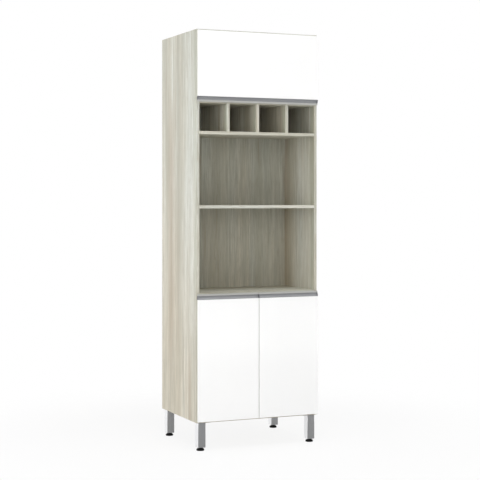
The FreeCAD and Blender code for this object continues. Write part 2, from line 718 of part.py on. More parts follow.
def add_side_dowel(joints, centre):
    """Dowel across the left side panel's inner face, and its two holes."""
    hole_radius = DOWEL_RADIUS + JOINT_CLEARANCE
    start = centre - X_AXIS * DOWEL_IN_SIDE
    joints["dowels"].append(bar(start, X_AXIS, DOWEL_RADIUS, DOWEL_IN_SIDE + DOWEL_IN_PANEL))
    joints["board_cuts"].append(bar(centre, X_AXIS, hole_radius, DOWEL_IN_PANEL + HOLE_SPARE))
    joints["side_cuts"].append(bar(centre, -X_AXIS, hole_radius, DOWEL_IN_SIDE + HOLE_SPARE))


def niche_back_joints():
    """Dowels between the niche's back panel and the left side panel."""
    y = NICHE_BACK_Y + BOARD / 2
    heights = (
        SHELF_Z - LOWER_NICHE_CLEAR / 2,
        RACK_FLOOR_Z - UPPER_NICHE_CLEAR / 2,
        RACK_CEILING_Z - RACK_CLEAR / 2,
    )
    joints = {"dowels": [], "board_cuts": [], "side_cuts": []}
    for z in heights:
        add_side_dowel(joints, vector(-INNER_X, y, z))
    return joints


def divider_places():
    """Left face of each rack divider, evenly spaced between the side panels."""
    cells = len(DIVIDER_NAMES) + 1
    cell = (2 * INNER_X - len(DIVIDER_NAMES) * BOARD) / cells
    return [-INNER_X + (index + 1) * cell + index * BOARD for index in range(len(DIVIDER_NAMES))]


def divider_dowel_starts():
    """Points on the rack floor and the rack ceiling where dividers are dowelled, with the way up."""
    depths = (CARCASS_FRONT_Y + DIVIDER_DOWEL_EDGE_DISTANCE, NICHE_BACK_Y - DIVIDER_DOWEL_EDGE_DISTANCE)
    floor_z = RACK_FLOOR_Z + BOARD
    starts = []
    for x in divider_places():
        for y in depths:
            starts.append((vector(x + BOARD / 2, y, floor_z), Z_AXIS))
            starts.append((vector(x + BOARD / 2, y, RACK_CEILING_Z), -Z_AXIS))
    return starts


def divider_dowel(face, into_divider):
    start = face - into_divider * DIVIDER_DOWEL_IN_PANEL
    length = DIVIDER_DOWEL_IN_PANEL + DIVIDER_DOWEL_IN_DIVIDER
    return bar(start, into_divider, DIVIDER_DOWEL_RADIUS, length)


def divider_dowel_hole(face, into_divider):
    start = face - into_divider * (DIVIDER_DOWEL_IN_PANEL + HOLE_SPARE)
    length = DIVIDER_DOWEL_IN_PANEL + DIVIDER_DOWEL_IN_DIVIDER + 2 * HOLE_SPARE
    return bar(start, into_divider, DIVIDER_DOWEL_RADIUS + JOINT_CLEARANCE, length)


def shelf_pin_faces(step):
    """Points on the left side panel for one row of shelf pins."""
    shelf_z = BASE_FLOOR_Z + BASE_SHELF_RISE
    z = shelf_z - SHELF_PIN_RADIUS + step * SHELF_PIN_PITCH
    front_y = CARCASS_FRONT_Y + BASE_SHELF_SETBACK + SHELF_PIN_EDGE_DISTANCE
    rear_y = CARCASS_REAR_Y - BASE_SHELF_REAR_GAP - SHELF_PIN_EDGE_DISTANCE
    return [vector(-INNER_X, y, z) for y in (front_y, rear_y)]


def shelf_pin(face):
    start = face - X_AXIS * SHELF_PIN_IN_SIDE
    return bar(start, X_AXIS, SHELF_PIN_RADIUS, SHELF_PIN_IN_SIDE + SHELF_PIN_OUT)


def shelf_pin_hole(face):
    return bar(face, -X_AXIS, SHELF_PIN_RADIUS + JOINT_CLEARANCE, SHELF_PIN_IN_SIDE + HOLE_SPARE)


# Legs and feet, drawn for the left side

def leg_plate_box(leg_y, inward):
    """Ends of the plate over a left leg; inward is 1 where it laps towards the rear."""
    x0 = -LEG_OUTER_X
    x1 = x0 + LEG_SIZE + LEG_PLATE_LAP
    outer_y = leg_y - inward * LEG_SIZE / 2
    inner_y = leg_y + inward * (LEG_SIZE / 2 + LEG_PLATE_LAP)
    return x0, x1, outer_y, inner_y


def leg_plate_screw_seats(leg_y, inward):
    _, x1, _, inner_y = leg_plate_box(leg_y, inward)
    lap_x = x1 - LEG_PLATE_LAP / 2
    lap_y = inner_y - inward * LEG_PLATE_LAP / 2
    z = LEG_HEIGHT - LEG_PLATE_THICK
    return [vector(lap_x, leg_y, z), vector(lap_x, lap_y, z), vector(-LEG_CENTRE_X, lap_y, z)]


def leg_plate(leg_y, inward):
    """Plate under the bottom panel, with a spigot inside the leg."""
    x0, x1, outer_y, inner_y = leg_plate_box(leg_y, inward)
    z = LEG_HEIGHT - LEG_PLATE_THICK
    plate = box(x0, x1, min(outer_y, inner_y), max(outer_y, inner_y), z, LEG_HEIGHT)
    outer = LEG_SIZE / 2 - LEG_WALL - LEG_FIT_CLEARANCE
    inner = outer - LEG_SPIGOT_WALL
    spigot = square_tube(leg_y, outer, inner, z - LEG_SPIGOT_HEIGHT, z)
    holes = [screw_hole(seat, Z_AXIS) for seat in leg_plate_screw_seats(leg_y, inward)]
    return plate.fuse(spigot).cut(holes).removeSplitter()


def square_tube(leg_y, outer, inner, z0, z1):
    """Square tube on a left leg's axis, from its outer and inner half sizes."""
    x = -LEG_CENTRE_X
    solid = box(x - outer, x + outer, leg_y - outer, leg_y + outer, z0, z1)
    return solid.cut(box(x - inner, x + inner, leg_y - inner, leg_y + inner, z0, z1))


def leg_tube(leg_y):
    outer = LEG_SIZE / 2
    tube = square_tube(leg_y, outer, outer - LEG_WALL, LEG_CLEAR_OF_FLOOR, LEG_HEIGHT - LEG_PLATE_THICK)

    def outer_corner(edge):
        middle = edge.CenterOfMass
        across = abs(middle.x + LEG_CENTRE_X) + abs(middle.y - leg_y)
        return runs_along(edge, Z_AXIS) and across > 2 * outer - LEG_WALL

    return rounded(tube, LEG_CORNER_ROUND, outer_corner)


def leg_plug(leg_y):
    """Threaded plug in the leg's lower end."""
    half = LEG_SIZE / 2 - LEG_WALL - LEG_FIT_CLEARANCE
    x = -LEG_CENTRE_X
    z0 = LEG_CLEAR_OF_FLOOR
    plug = box(x - half, x + half, leg_y - half, leg_y + half, z0, z0 + LEG_PLUG_HEIGHT)
    bore = bar(vector(x, leg_y, z0), Z_AXIS, FOOT_STEM_RADIUS + FOOT_STEM_CLEARANCE, LEG_PLUG_HEIGHT)
    return plug.cut(bore)


def foot_pad(leg_y):
    centre = vector(-LEG_CENTRE_X, leg_y, 0)
    pad = bar(centre, Z_AXIS, FOOT_PAD_RADIUS, FOOT_PAD_HEIGHT)

    def top_rim(edge):
        return edge.CenterOfMass.z > FOOT_PAD_HEIGHT / 2 and edge.Curve.TypeId == "Part::GeomCircle"

    pad = rounded(pad, FOOT_PAD_ROUND, top_rim)
    hub = bar(centre, Z_AXIS, FOOT_HUB_RADIUS, LEG_CLEAR_OF_FLOOR - FOOT_NUT_HEIGHT)
    stem_start = vector(centre.x, leg_y, LEG_CLEAR_OF_FLOOR - FOOT_NUT_HEIGHT - FOOT_STEM_IN_PAD)
    bore = bar(stem_start, Z_AXIS, FOOT_STEM_RADIUS + JOINT_CLEARANCE, FOOT_STEM_IN_PAD)
    return pad.fuse(hub).cut(bore).removeSplitter()


def foot_screw(leg_y):
    """Threaded stem and the lock nut that stops it against the leg's plug."""
    nut_z = LEG_CLEAR_OF_FLOOR - FOOT_NUT_HEIGHT
    stem_z = nut_z - FOOT_STEM_IN_PAD
    stem_top = LEG_CLEAR_OF_FLOOR + LEG_PLUG_HEIGHT + FOOT_STEM_ABOVE_PLUG
    stem = bar(vector(-LEG_CENTRE_X, leg_y, stem_z), Z_AXIS, FOOT_STEM_RADIUS, stem_top - stem_z)
    corner = FOOT_NUT_ACROSS_FLATS / 2 / math.cos(math.pi / HEX_SIDES)
    corners = []
    for index in range(HEX_SIDES + 1):
        angle = 2 * math.pi * index / HEX_SIDES
        corners.append(vector(
            -LEG_CENTRE_X + corner * math.cos(angle), leg_y + corner * math.sin(angle), nut_z,
        ))
    nut = Part.Face(Part.makePolygon(corners)).extrude(Z_AXIS * FOOT_NUT_HEIGHT)
    bore = bar(
        vector(-LEG_CENTRE_X, leg_y, nut_z), Z_AXIS, FOOT_STEM_RADIUS + JOINT_CLEARANCE, FOOT_NUT_HEIGHT,
    )
    return [stem, nut.cut(bore)]


LEGS = (("front", FRONT_LEG_Y, 1), ("rear", REAR_LEG_Y, -1))


# Wall brackets and bumpers

def wall_bracket_screw_seats():
    y = CARCASS_REAR_Y - WALL_BRACKET_SCREW_FROM_REAR
    z = TOP_Z - BRACKET_THICK
    return [vector(-WALL_BRACKET_X + side * WALL_BRACKET_SCREW_SPREAD, y, z) for side in (-1, 1)]


def wall_hole(radius, rear_y, length):
    start = vector(-WALL_BRACKET_X, rear_y, TOP_Z - WALL_HOLE_DROP)
    return bar(start, -Y_AXIS, radius, length)


def wall_bracket():
    """Angle under the top panel, with the hole for the wall screw."""
    x0 = -WALL_BRACKET_X - WALL_BRACKET_WIDTH / 2
    x1 = x0 + WALL_BRACKET_WIDTH
    level = box(x0, x1, CARCASS_REAR_Y - WALL_BRACKET_LENGTH, CARCASS_REAR_Y, TOP_Z - BRACKET_THICK, TOP_Z)
    upright = box(x0, x1, CARCASS_REAR_Y - BRACKET_THICK, CARCASS_REAR_Y, TOP_Z - WALL_BRACKET_HEIGHT, TOP_Z)
    holes = [screw_hole(seat, Z_AXIS) for seat in wall_bracket_screw_seats()]
    holes.append(wall_hole(WALL_HOLE_RADIUS, CARCASS_REAR_Y, BRACKET_THICK))
    return level.fuse(upright).cut(holes).removeSplitter()


def bumpers():
    """Pads on the carcass front, near the free edges of the fronts."""
    length = FRONT_STANDOFF - BUMPER_GAP
    places = (
        (-BUMPER_CENTRE_DISTANCE, DOOR_BOTTOM_Z + BUMPER_RADIUS + SIDE_REVEAL),
        (-HALF_WIDTH + BOARD / 2, FLAP_BOTTOM_Z + BUMPER_ABOVE_FLAP_EDGE),
    )
    return [bar(vector(x, CARCASS_FRONT_Y, z), -Y_AXIS, BUMPER_RADIUS, length) for x, z in places]


def rear_panel(z0, z1, holes):
    x = HALF_WIDTH - REAR_REVEAL
    panel = box(-x, x, CARCASS_REAR_Y, REAR_Y, z0, z1)
    return panel.cut(holes) if holes else panel


def carcass():
    """Every fixed piece of the cabinet."""
    nodes = {"cam_locks": [], "cam_bolts": [], "dowels": []}
    side_cuts = []
    divider_holes = [divider_dowel_hole(face, way) for face, way in divider_dowel_starts()]
    plate_holes = []
    for _, leg_y, inward in LEGS:
        plate_holes += [screw_hole(seat, Z_AXIS) for seat in leg_plate_screw_seats(leg_y, inward)]
    bracket_holes = [screw_hole(seat, Z_AXIS) for seat in wall_bracket_screw_seats()]
    extra_cuts = {
        "bottom_panel": both_sides(plate_holes),
        "rack_floor_panel": divider_holes,
        "rack_ceiling_panel": divider_holes,
        "top_panel": both_sides(bracket_holes) + on_flap(PLATE_SCREW_HOLES),
    }
    for name, z, rear_y, opens in HORIZONTALS:
        joints = end_joints(z, rear_y, opens)
        board = box(-INNER_X, INNER_X, CARCASS_FRONT_Y, rear_y, z, z + BOARD)
        cuts = both_sides(joints["board_cuts"]) + extra_cuts.get(name, [])
        nodes[name] = [board.cut(cuts)]
        nodes["cam_locks"] += both_sides(joints["cams"])
        nodes["cam_bolts"] += both_sides(joints["bolts"])
        nodes["dowels"] += both_sides(joints["dowels"])
        side_cuts += joints["side_cuts"]

    back_joints = niche_back_joints()
    back = box(
        -INNER_X, INNER_X, NICHE_BACK_Y, NICHE_BACK_Y + BOARD, NICHE_FLOOR_Z + BOARD, RACK_CEILING_Z,
    )
    nodes["niche_back_panel"] = [back.cut(both_sides(back_joints["board_cuts"]))]
    nodes["dowels"] += both_sides(back_joints["dowels"])
    side_cuts += back_joints["side_cuts"]

    for name, x in zip(DIVIDER_NAMES, divider_places()):
        divider = box(
            x, x + BOARD, CARCASS_FRONT_Y, NICHE_BACK_Y, RACK_FLOOR_Z + BOARD, RACK_CEILING_Z,
        )
        nodes["rack_divider_" + name] = [divider.cut(divider_holes)]
    nodes["dowels"] += [divider_dowel(face, way) for face, way in divider_dowel_starts()]

    shelf_z = BASE_FLOOR_Z + BASE_SHELF_RISE
    shelf_x = INNER_X - BASE_SHELF_SIDE_GAP
    nodes["base_shelf"] = [box(
        -shelf_x, shelf_x, CARCASS_FRONT_Y + BASE_SHELF_SETBACK, CARCASS_REAR_Y - BASE_SHELF_REAR_GAP,
        shelf_z, shelf_z + BOARD,
    )]
    nodes["shelf_pins"] = both_sides([shelf_pin(face) for face in shelf_pin_faces(0)])
    for step in SHELF_PIN_STEPS:
        side_cuts += [shelf_pin_hole(face) for face in shelf_pin_faces(step)]

    side_cuts += on_left_door(PLATE_SCREW_HOLES)
    side_cuts += [screw_hole(seat, -X_AXIS) for seat in side_bracket_screw_seats()]
    side = box(-HALF_WIDTH, -INNER_X, CARCASS_FRONT_Y, CARCASS_REAR_Y, BOTTOM_Z, HEIGHT).cut(side_cuts)
    nodes["left_side_panel"] = [side]
    nodes["right_side_panel"] = mirrored([side])

    joint_z = NICHE_FLOOR_Z + BOARD / 2
    rear_hole = wall_hole(WALL_HOLE_RADIUS + WALL_HOLE_REAR_CLEARANCE, REAR_Y, REAR_BOARD)
    nodes["rear_panel_lower"] = [rear_panel(BOTTOM_Z + REAR_REVEAL, joint_z, [])]
    nodes["rear_panel_upper"] = [rear_panel(joint_z, HEIGHT - REAR_REVEAL, both_sides([rear_hole]))]

    nodes["hinge_arms"] = both_sides(on_left_door(hinge_arm())) + on_flap(hinge_arm())
    nodes["hinge_plates"] = both_sides(on_left_door(hinge_plate(DOOR_PLATE_FACE)))
    nodes["hinge_plates"] += on_flap(hinge_plate(FLAP_PLATE_FACE))
    nodes["strut_side_brackets"] = both_sides([strut_side_bracket()])
    nodes["wall_brackets"] = both_sides([wall_bracket()])
    nodes["door_bumpers"] = both_sides(bumpers())

    left_screws = on_left_door(PLATE_SCREWS)
    left_screws += [screw(seat, -X_AXIS) for seat in side_bracket_screw_seats()]
    left_screws += [screw(seat, Z_AXIS) for seat in wall_bracket_screw_seats()]
    nodes["leg_plates"] = []
    nodes["leg_end_plugs"] = []
    for end, leg_y, inward in LEGS:
        left_screws += [screw(seat, Z_AXIS) for seat in leg_plate_screw_seats(leg_y, inward)]
        nodes["leg_plates"] += both_sides([leg_plate(leg_y, inward)])
        nodes["leg_end_plugs"] += both_sides([leg_plug(leg_y)])
        nodes["leg_" + end + "_left"] = [leg_tube(leg_y)]
        nodes["leg_" + end + "_right"] = mirrored([leg_tube(leg_y)])
    nodes["bracket_screws"] = both_sides(left_screws) + on_flap(PLATE_SCREWS)
    return nodes


def feet():
    nodes = {}
    for end, leg_y, _ in LEGS:
        nodes["foot_pad_" + end + "_left"] = [foot_pad(leg_y)]
        nodes["foot_pad_" + end + "_right"] = mirrored([foot_pad(leg_y)])
        nodes["foot_screw_" + end + "_left"] = foot_screw(leg_y)
        nodes["foot_screw_" + end + "_right"] = mirrored(foot_screw(leg_y))
    return nodes


def fronts():
    nodes = flap()
    for name, shapes in left_door().items():
        nodes["left_" + name] = shapes
        nodes["right_" + name] = mirrored(shapes)
    return nodes


def struts():
    cylinder = along_strut(strut_cylinder(), strut_side_pivot())
    rod = along_strut(strut_rod(), strut_flap_pivot())
    return {
        "strut_left_cylinder": [cylinder],
        "strut_right_cylinder": mirrored([cylinder]),
        "strut_left_rod": [rod],
        "strut_right_rod": mirrored([rod]),
    }


def write(nodes):
    """One file per node, each holding that node's solids."""
    os.makedirs("parts", exist_ok=True)
    for name, shapes in nodes.items():
        solids = [solid for shape in shapes for solid in shape.Solids]
        Part.makeCompound(solids).exportStep("parts/" + name + ".step")
        print(name, len(solids), "solids")


write({**carcass(), **fronts(), **struts(), **feet()})
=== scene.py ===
"""Tall kitchen cabinet: the looks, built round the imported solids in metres, in the cabinet's frame."""

import logging
import math
from collections.abc import Callable
from dataclasses import dataclass
from enum import Enum
from functools import cached_property
from typing import Any

import bmesh
import bpy
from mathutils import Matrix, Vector

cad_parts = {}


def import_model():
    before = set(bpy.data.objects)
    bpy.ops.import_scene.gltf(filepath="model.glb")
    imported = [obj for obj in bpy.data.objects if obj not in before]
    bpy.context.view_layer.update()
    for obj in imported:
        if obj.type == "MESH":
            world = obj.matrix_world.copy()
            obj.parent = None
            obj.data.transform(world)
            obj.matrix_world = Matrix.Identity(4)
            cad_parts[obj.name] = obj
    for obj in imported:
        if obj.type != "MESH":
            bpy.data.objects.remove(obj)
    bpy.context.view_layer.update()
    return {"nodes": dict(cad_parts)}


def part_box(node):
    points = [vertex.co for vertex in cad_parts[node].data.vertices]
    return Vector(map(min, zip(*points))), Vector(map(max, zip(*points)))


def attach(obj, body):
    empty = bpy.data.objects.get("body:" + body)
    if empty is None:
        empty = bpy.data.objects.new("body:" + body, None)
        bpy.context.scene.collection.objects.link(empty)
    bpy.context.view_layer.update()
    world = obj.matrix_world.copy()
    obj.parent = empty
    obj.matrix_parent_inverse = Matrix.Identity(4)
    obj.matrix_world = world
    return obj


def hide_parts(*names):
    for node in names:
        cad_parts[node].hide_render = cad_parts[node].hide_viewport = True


LOG = logging.getLogger("tall_cabinet")
MM = 0.001
METRE_IN_MM = 1000.0
# Corners of a mesh that lie closer than this are one corner.
MERGE = 0.005 * MM
# Edges sharper than this are broken, in this many steps.
SHARP_DEG = 40.0
EDGE_STEPS = 2
# Values that a noise pattern mostly keeps between, and its middle.
NOISE_SPAN = (0.3, 0.7)
NOISE_MIDDLE = (0.5, 0.5, 0.5)

Colour = tuple[float, float, float, float]
Point = tuple[float, float, float]
Range = tuple[float, float]
Shades = tuple[str, str, str]

WHITE: Colour = (1.0, 1.0, 1.0, 1.0)
# Setting of a range that eases in and out.
SMOOTH = {"interpolation_type": "SMOOTHSTEP"}
CORNERS = ("front_left", "front_right", "rear_left", "rear_right")
HANDS = ("left", "right")


class Grain(Enum):
    """The way the printed grain runs on a board."""

    UPRIGHT = "upright"
    ACROSS = "across"

    def spread(self, across_mm: float, along_mm: float) -> Point:
        """Sizes of a pattern in x, y and z, long in the grain's direction and short in the two others."""
        upright = self is Grain.UPRIGHT
        return (across_mm, across_mm, along_mm) if upright else (along_mm, across_mm, across_mm)


def linear(code: str) -> Colour:
    """Turns an sRGB hex colour into linear light.

    Args:
        code: The colour as six hex digits after a hash sign.

    Returns:
        Red, green, blue and an alpha of 1.
    """
    shares = [int(code[i:i + 2], 16) / 255 for i in (1, 3, 5)]
    red, green, blue = [s / 12.92 if s <= 0.04045 else ((s + 0.055) / 1.055) ** 2.4 for s in shares]
    return red, green, blue, 1.0


def from_to(value: Any, come: Range, go: tuple[Any, Any] = (0.0, 1.0)) -> dict[str, Any]:
    """Settings that take a value from one range to another, whose ends may be nodes."""
    return {"Value": value, "From Min": come[0], "From Max": come[1], "To Min": go[0], "To Max": go[1]}


def bare_tree(owner: Any) -> Any:
    """Empties the node tree of a material or a world and returns it."""
    owner.use_nodes = True
    owner.node_tree.nodes.clear()
    return owner.node_tree


class NodeTree:
    """A tree of nodes in the making, most of them of one family."""

    family = "ShaderNode"

    def __init__(self, tree: Any) -> None:
        """Takes an empty tree."""
        self.tree = tree

    def add(self, kind: str, settings: dict | None = None) -> Any:
        """Adds one node.

        Args:
            kind: The node's type name, without the family's name where the node is of that family.
            settings: Its properties, the values of its inputs and what is linked to them.

        Returns:
            The new node.
        """
        node = self.tree.nodes.new(kind if "Node" in kind else self.family + kind)
        self.set(node, settings or {})
        return node

    def set(self, node: Any, settings: dict) -> None:
        """Sets a node's properties and its inputs, which go by identifier, name or number.

        Args:
            node: The node.
            settings: A value, an output socket or a node for each property or input. A node stands for its
                first output in use, and a hex code for its colour.
        """
        for key, value in settings.items():
            if hasattr(node, str(key)):
                setattr(node, key, value)
                continue
            target = next((socket for socket in node.inputs if socket.identifier == key), None)
            target = target or node.inputs[key]
            if isinstance(value, bpy.types.Node):
                value = next(socket for socket in value.outputs if socket.enabled)
            if isinstance(value, bpy.types.NodeSocket):
                self.tree.links.new(value, target)
            else:
                target.default_value = linear(value) if isinstance(value, str) else value


class Coat(NodeTree):
    """A material in the making, with its shader and its Object coordinates."""

    def __init__(self, name: str) -> None:
        """Starts the material under its name."""
        self.material = bpy.data.materials.new(name)
        super().__init__(bare_tree(self.material))
        self.shader = self.add("BsdfPrincipled")
        self.add("OutputMaterial", {"Surface": self.shader})
        self.place = self.add("TexCoord").outputs["Object"]

    @cached_property
    def axes(self) -> Any:
        """The coordinates taken apart, as one socket for each axis."""
        return self.add("SeparateXYZ", {"Vector": self.place}).outputs

    def pattern(self, place: Any, sizes_mm: Point, detail: float, roughness: float = 0.5) -> Any:
        """Adds a soft random pattern at a real size.

        Args:
            place: The coordinates that it lies on.
            sizes_mm: The size of one step in x, y and z.
            detail: How many finer steps it has.
            roughness: How strong the finer steps are.

        Returns:
            The node with the pattern.
        """
        scaled = self.add("Mapping", {"Vector": place, "Scale": [METRE_IN_MM / size for size in sizes_mm]})
        return self.add("TexNoise", {
            "Vector": scaled, "Scale": 1.0, "Detail": detail, "Roughness": roughness})

    def paint(self, colour: Any, *layers: tuple[Any, Any]) -> Any:
        """Lays colours over one another.

        Args:
            colour: The lowest colour.
            layers: The share and the colour of each layer above it.

        Returns:
            The node with the colour that shows.
        """
        for share, over in layers:
            colour = self.add("Mix", {
                "data_type": "RGBA", "Factor_Float": share, "A_Color": colour, "B_Color": over})
        return colour

    def close(self, finish: Any, colour: Any, sheen: Any, height: Any) -> bpy.types.Material:
        """Gives the shader its colour, its sheen and its fine relief.

        Args:
            finish: The finish, with its roughness and its relief, which goes in where that is below 0.
            colour: The node with the colour.
            sheen: The node with the pattern that the roughness follows.
            height: The node with the pattern of the relief.

        Returns:
            The finished material.
        """
        dull = self.add("MapRange", from_to(sheen, NOISE_SPAN, finish.rough))
        relief = self.add("Bump", {
            "invert": finish.relief_mm < 0, "Height": height, "Strength": finish.bump,
            "Distance": abs(finish.relief_mm) * MM})
        self.set(self.shader, {"Base Color": colour, "Roughness": dull, "Normal": relief})
        return self.material


@dataclass(frozen=True)
class Lines:
    """Dark lines of the print, drawn along the grain.

    The size is across and along the grain in millimetres, and the detail. The lines begin and are full at
    the two values of their noise in the span, and take at most this share of the colour.
    """

    size: Point
    span: Range
    most: float

    def share(self, coat: Coat, noise: Any) -> Any:
        """Adds the node that says how strong the lines are at each point of their noise."""
        return coat.add("MapRange", from_to(noise, self.span, (0.0, self.most)))


@dataclass(frozen=True)
class HeartStreak:
    """One long rose-brown streak of heartwood in the print, soft at its sides and fading at both ends."""

    place_m: float
    half_width_m: float
    middle_m: float
    steady_m: float
    reach_m: float
    most: float

    def share(self, coat: Coat, across: Any, along: Any) -> Any:
        """Adds the nodes that say how strong the streak is at each point.

        Args:
            coat: The material in the making.
            across: The place across the grain.
            along: The place along the grain.

        Returns:
            The node with the streak's share of the colour.
        """
        share: Any = self.most
        for axis, middle, near, far in ((across, self.place_m, 0.0, self.half_width_m),
                                        (along, self.middle_m, self.steady_m, self.reach_m)):
            off = coat.add("Math", {"operation": "SUBTRACT", 0: axis, 1: middle})
            away = coat.add("Math", {"operation": "ABSOLUTE", 0: off})
            share = coat.add("MapRange", SMOOTH | from_to(away, (near, far), (share, 0.0)))
        return share


@dataclass(frozen=True)
class AshMelamine:
    """Chipboard faced with a printed ash paper in melamine resin, satin pressed.

    The eye sees long soft streaks that fade in and out, cool grey towards the top and front of the cabinet
    and khaki to rose beige below and behind, with a few darker veins, fine pore lines and a dull sheen.
    Some boards also carry a long heartwood streak or two.
    """

    name: str
    grain: Grain
    cool: Shades = ("#D8DCD7", "#C8CAC0", "#ADADA0")
    warm: Shades = ("#DBD3C2", "#C9BFAB", "#A99E89")
    stops: Point = (0.30, 0.52, 0.76)
    shade: str = "#A19E8D"
    vein: str = "#A08F78"
    roughness: float = 0.55
    # Size across and along the grain in millimetres, and detail, of the broad figure, of the bands of tone
    # on it and of the patches of warm print.
    figure: Point = (150.0, 2600.0, 1.0)
    band: Point = (46.0, 1000.0, 2.0)
    patch: Point = (95.0, 900.0, 2.0)
    # Where the figure is cut from its endless noise, and how much it and the bands add to the tone.
    figure_from: Point = (0.0, 3.33, 27.9)
    figure_share: float = 0.9
    band_share: float = 0.55
    tone_from: float = -0.24
    streaks: Lines = Lines((15.0, 620.0, 4.0), (0.40, 0.72), 0.56)
    veins: Lines = Lines((26.0, 900.0, 2.0), (0.60, 0.72), 0.6)
    fibres: Lines = Lines((5.5, 150.0, 4.0), (0.44, 0.70), 0.66)
    # Real pores are about 0.3 mm wide; they are drawn coarser so that they show.
    pores: Lines = Lines((2.2, 60.0, 3.0), (0.56, 0.72), 0.6)
    hearts: tuple[HeartStreak, ...] = ()
    # All of it wanders to the sides by this much, in slow bends of this size.
    wander_mm: float = 9.0
    bend_mm: Range = (130.0, 420.0)
    bend_detail: float = 1.0
    # The print warms from the top to the foot and from the front to the back of the cabinet.
    height_m: Range = (0.15, 2.2)
    warmth_by_height: Range = (0.50, -0.24)
    depth_m: Range = (-0.27, 0.27)
    warmth_by_depth: Range = (-0.25, 0.20)
    # Share of the warm print at the middle, what a board adds to it, and how far the patches swing it.
    warmth_middle: float = 0.375
    warmth: float = 0.0
    warmth_swing: float = 1.3
    # How far the print darkens where it warms; below 0 it pales.
    tone_drift: float = 0.06
    # A deeper, creamier streak runs beside the boards' front edges, behind the edge band, and fades below.
    front_tint: str = "#ECEDE7"
    front_m: Range = (-0.200, -0.222)
    edge_band_to_m: float = -0.2535
    front_fade_m: Range = (0.72, 0.92)
    rough: Range = (0.42, 0.56)
    bump: float = 0.25
    relief_mm: float = -0.08

    def layer(self, coat: Coat, place: Any, size: Point) -> Any:
        """Adds a pattern drawn out along the grain, from its size across and along and its detail."""
        return coat.pattern(place, self.grain.spread(*size[:2]), size[2], self.roughness)

    def ground(self, coat: Coat, line: Any) -> Any:
        """Adds the print's ground: its broad figure, from pale to dark and from cool to warm.

        Args:
            coat: The material in the making.
            line: The node with the wandering coordinates.

        Returns:
            The node with the colour.
        """
        lower = coat.add("MapRange", from_to(coat.axes["Z"], self.height_m, self.warmth_by_height))
        rearward = coat.add("MapRange", from_to(coat.axes["Y"], self.depth_m, self.warmth_by_depth))
        drift = coat.add("Math", {"operation": "ADD", 0: lower, 1: rearward})
        even = coat.add("Math", {
            "operation": "ADD", 0: drift, 1: self.warmth_middle + self.warmth - self.warmth_swing / 2})
        warmth = coat.add("Math", {
            "operation": "MULTIPLY_ADD", "use_clamp": True, 0: self.layer(coat, line, self.patch),
            1: self.warmth_swing, 2: even})
        cut = coat.add("VectorMath", {"operation": "ADD", 0: line, 1: self.figure_from})
        tone = coat.add("Math", {
            "operation": "MULTIPLY_ADD", 0: drift, 1: self.tone_drift, 2: self.tone_from})
        for noise, share in ((self.layer(coat, cut, self.figure), self.figure_share),
                             (self.layer(coat, line, self.band), self.band_share)):
            tone = coat.add("Math", {"operation": "MULTIPLY_ADD", 0: noise, 1: share, 2: tone})
        tints = [coat.add("ValToRGB", {"Fac": tone}) for _ in range(2)]
        for tint, codes in zip(tints, (self.cool, self.warm)):
            elements = tint.color_ramp.elements
            elements.new(self.stops[1])
            for element, stop, code in zip(elements, self.stops, codes):
                element.position, element.color = stop, linear(code)
        return coat.paint(tints[0], (warmth, tints[1]))

    def beside_edge(self, coat: Coat) -> Any:
        """Adds the streak beside the boards' front edges.

        Args:
            coat: The material in the making.

        Returns:
            The node with the streak's share.
        """
        forward = coat.add("MapRange", SMOOTH | from_to(coat.axes["Y"], self.front_m))
        on_face = coat.add("Math", {"operation": "GREATER_THAN", 0: coat.axes["Y"], 1: self.edge_band_to_m})
        raised = coat.add("MapRange", from_to(coat.axes["Z"], self.front_fade_m, (0.0, on_face)))
        return coat.add("Math", {"operation": "MULTIPLY", 0: forward, 1: raised})

    def build(self) -> bpy.types.Material:
        """Builds the melamine's nodes and returns the material."""
        coat = Coat(self.name)
        bend = coat.pattern(coat.place, self.grain.spread(*self.bend_mm), self.bend_detail)
        centred = coat.add("VectorMath", {
            "operation": "SUBTRACT", 0: bend.outputs["Color"], 1: NOISE_MIDDLE})
        line = coat.add("VectorMath", {
            "operation": "MULTIPLY_ADD", 0: centred, 1: (2 * self.wander_mm * MM,) * 3, 2: coat.place})
        wandering = coat.add("SeparateXYZ", {"Vector": line}).outputs
        streak, vein, fibre, pore = (self.layer(coat, line, lines.size)
                                     for lines in (self.streaks, self.veins, self.fibres, self.pores))
        pressed = self.pores.share(coat, pore)
        darker = [(self.streaks.share(coat, streak), self.shade), (self.veins.share(coat, vein), self.vein),
                  (self.fibres.share(coat, fibre), self.shade)]
        darker += [(heart.share(coat, wandering["Y"], wandering["Z"]), self.vein) for heart in self.hearts]
        colour = coat.paint(self.ground(coat, line), *darker, (pressed, self.vein))
        edged = coat.add("Mix", {
            "data_type": "RGBA", "blend_type": "MULTIPLY", "Factor_Float": self.beside_edge(coat),
            "A_Color": colour, "B_Color": self.front_tint})
        return coat.close(self, edged, streak, pressed)


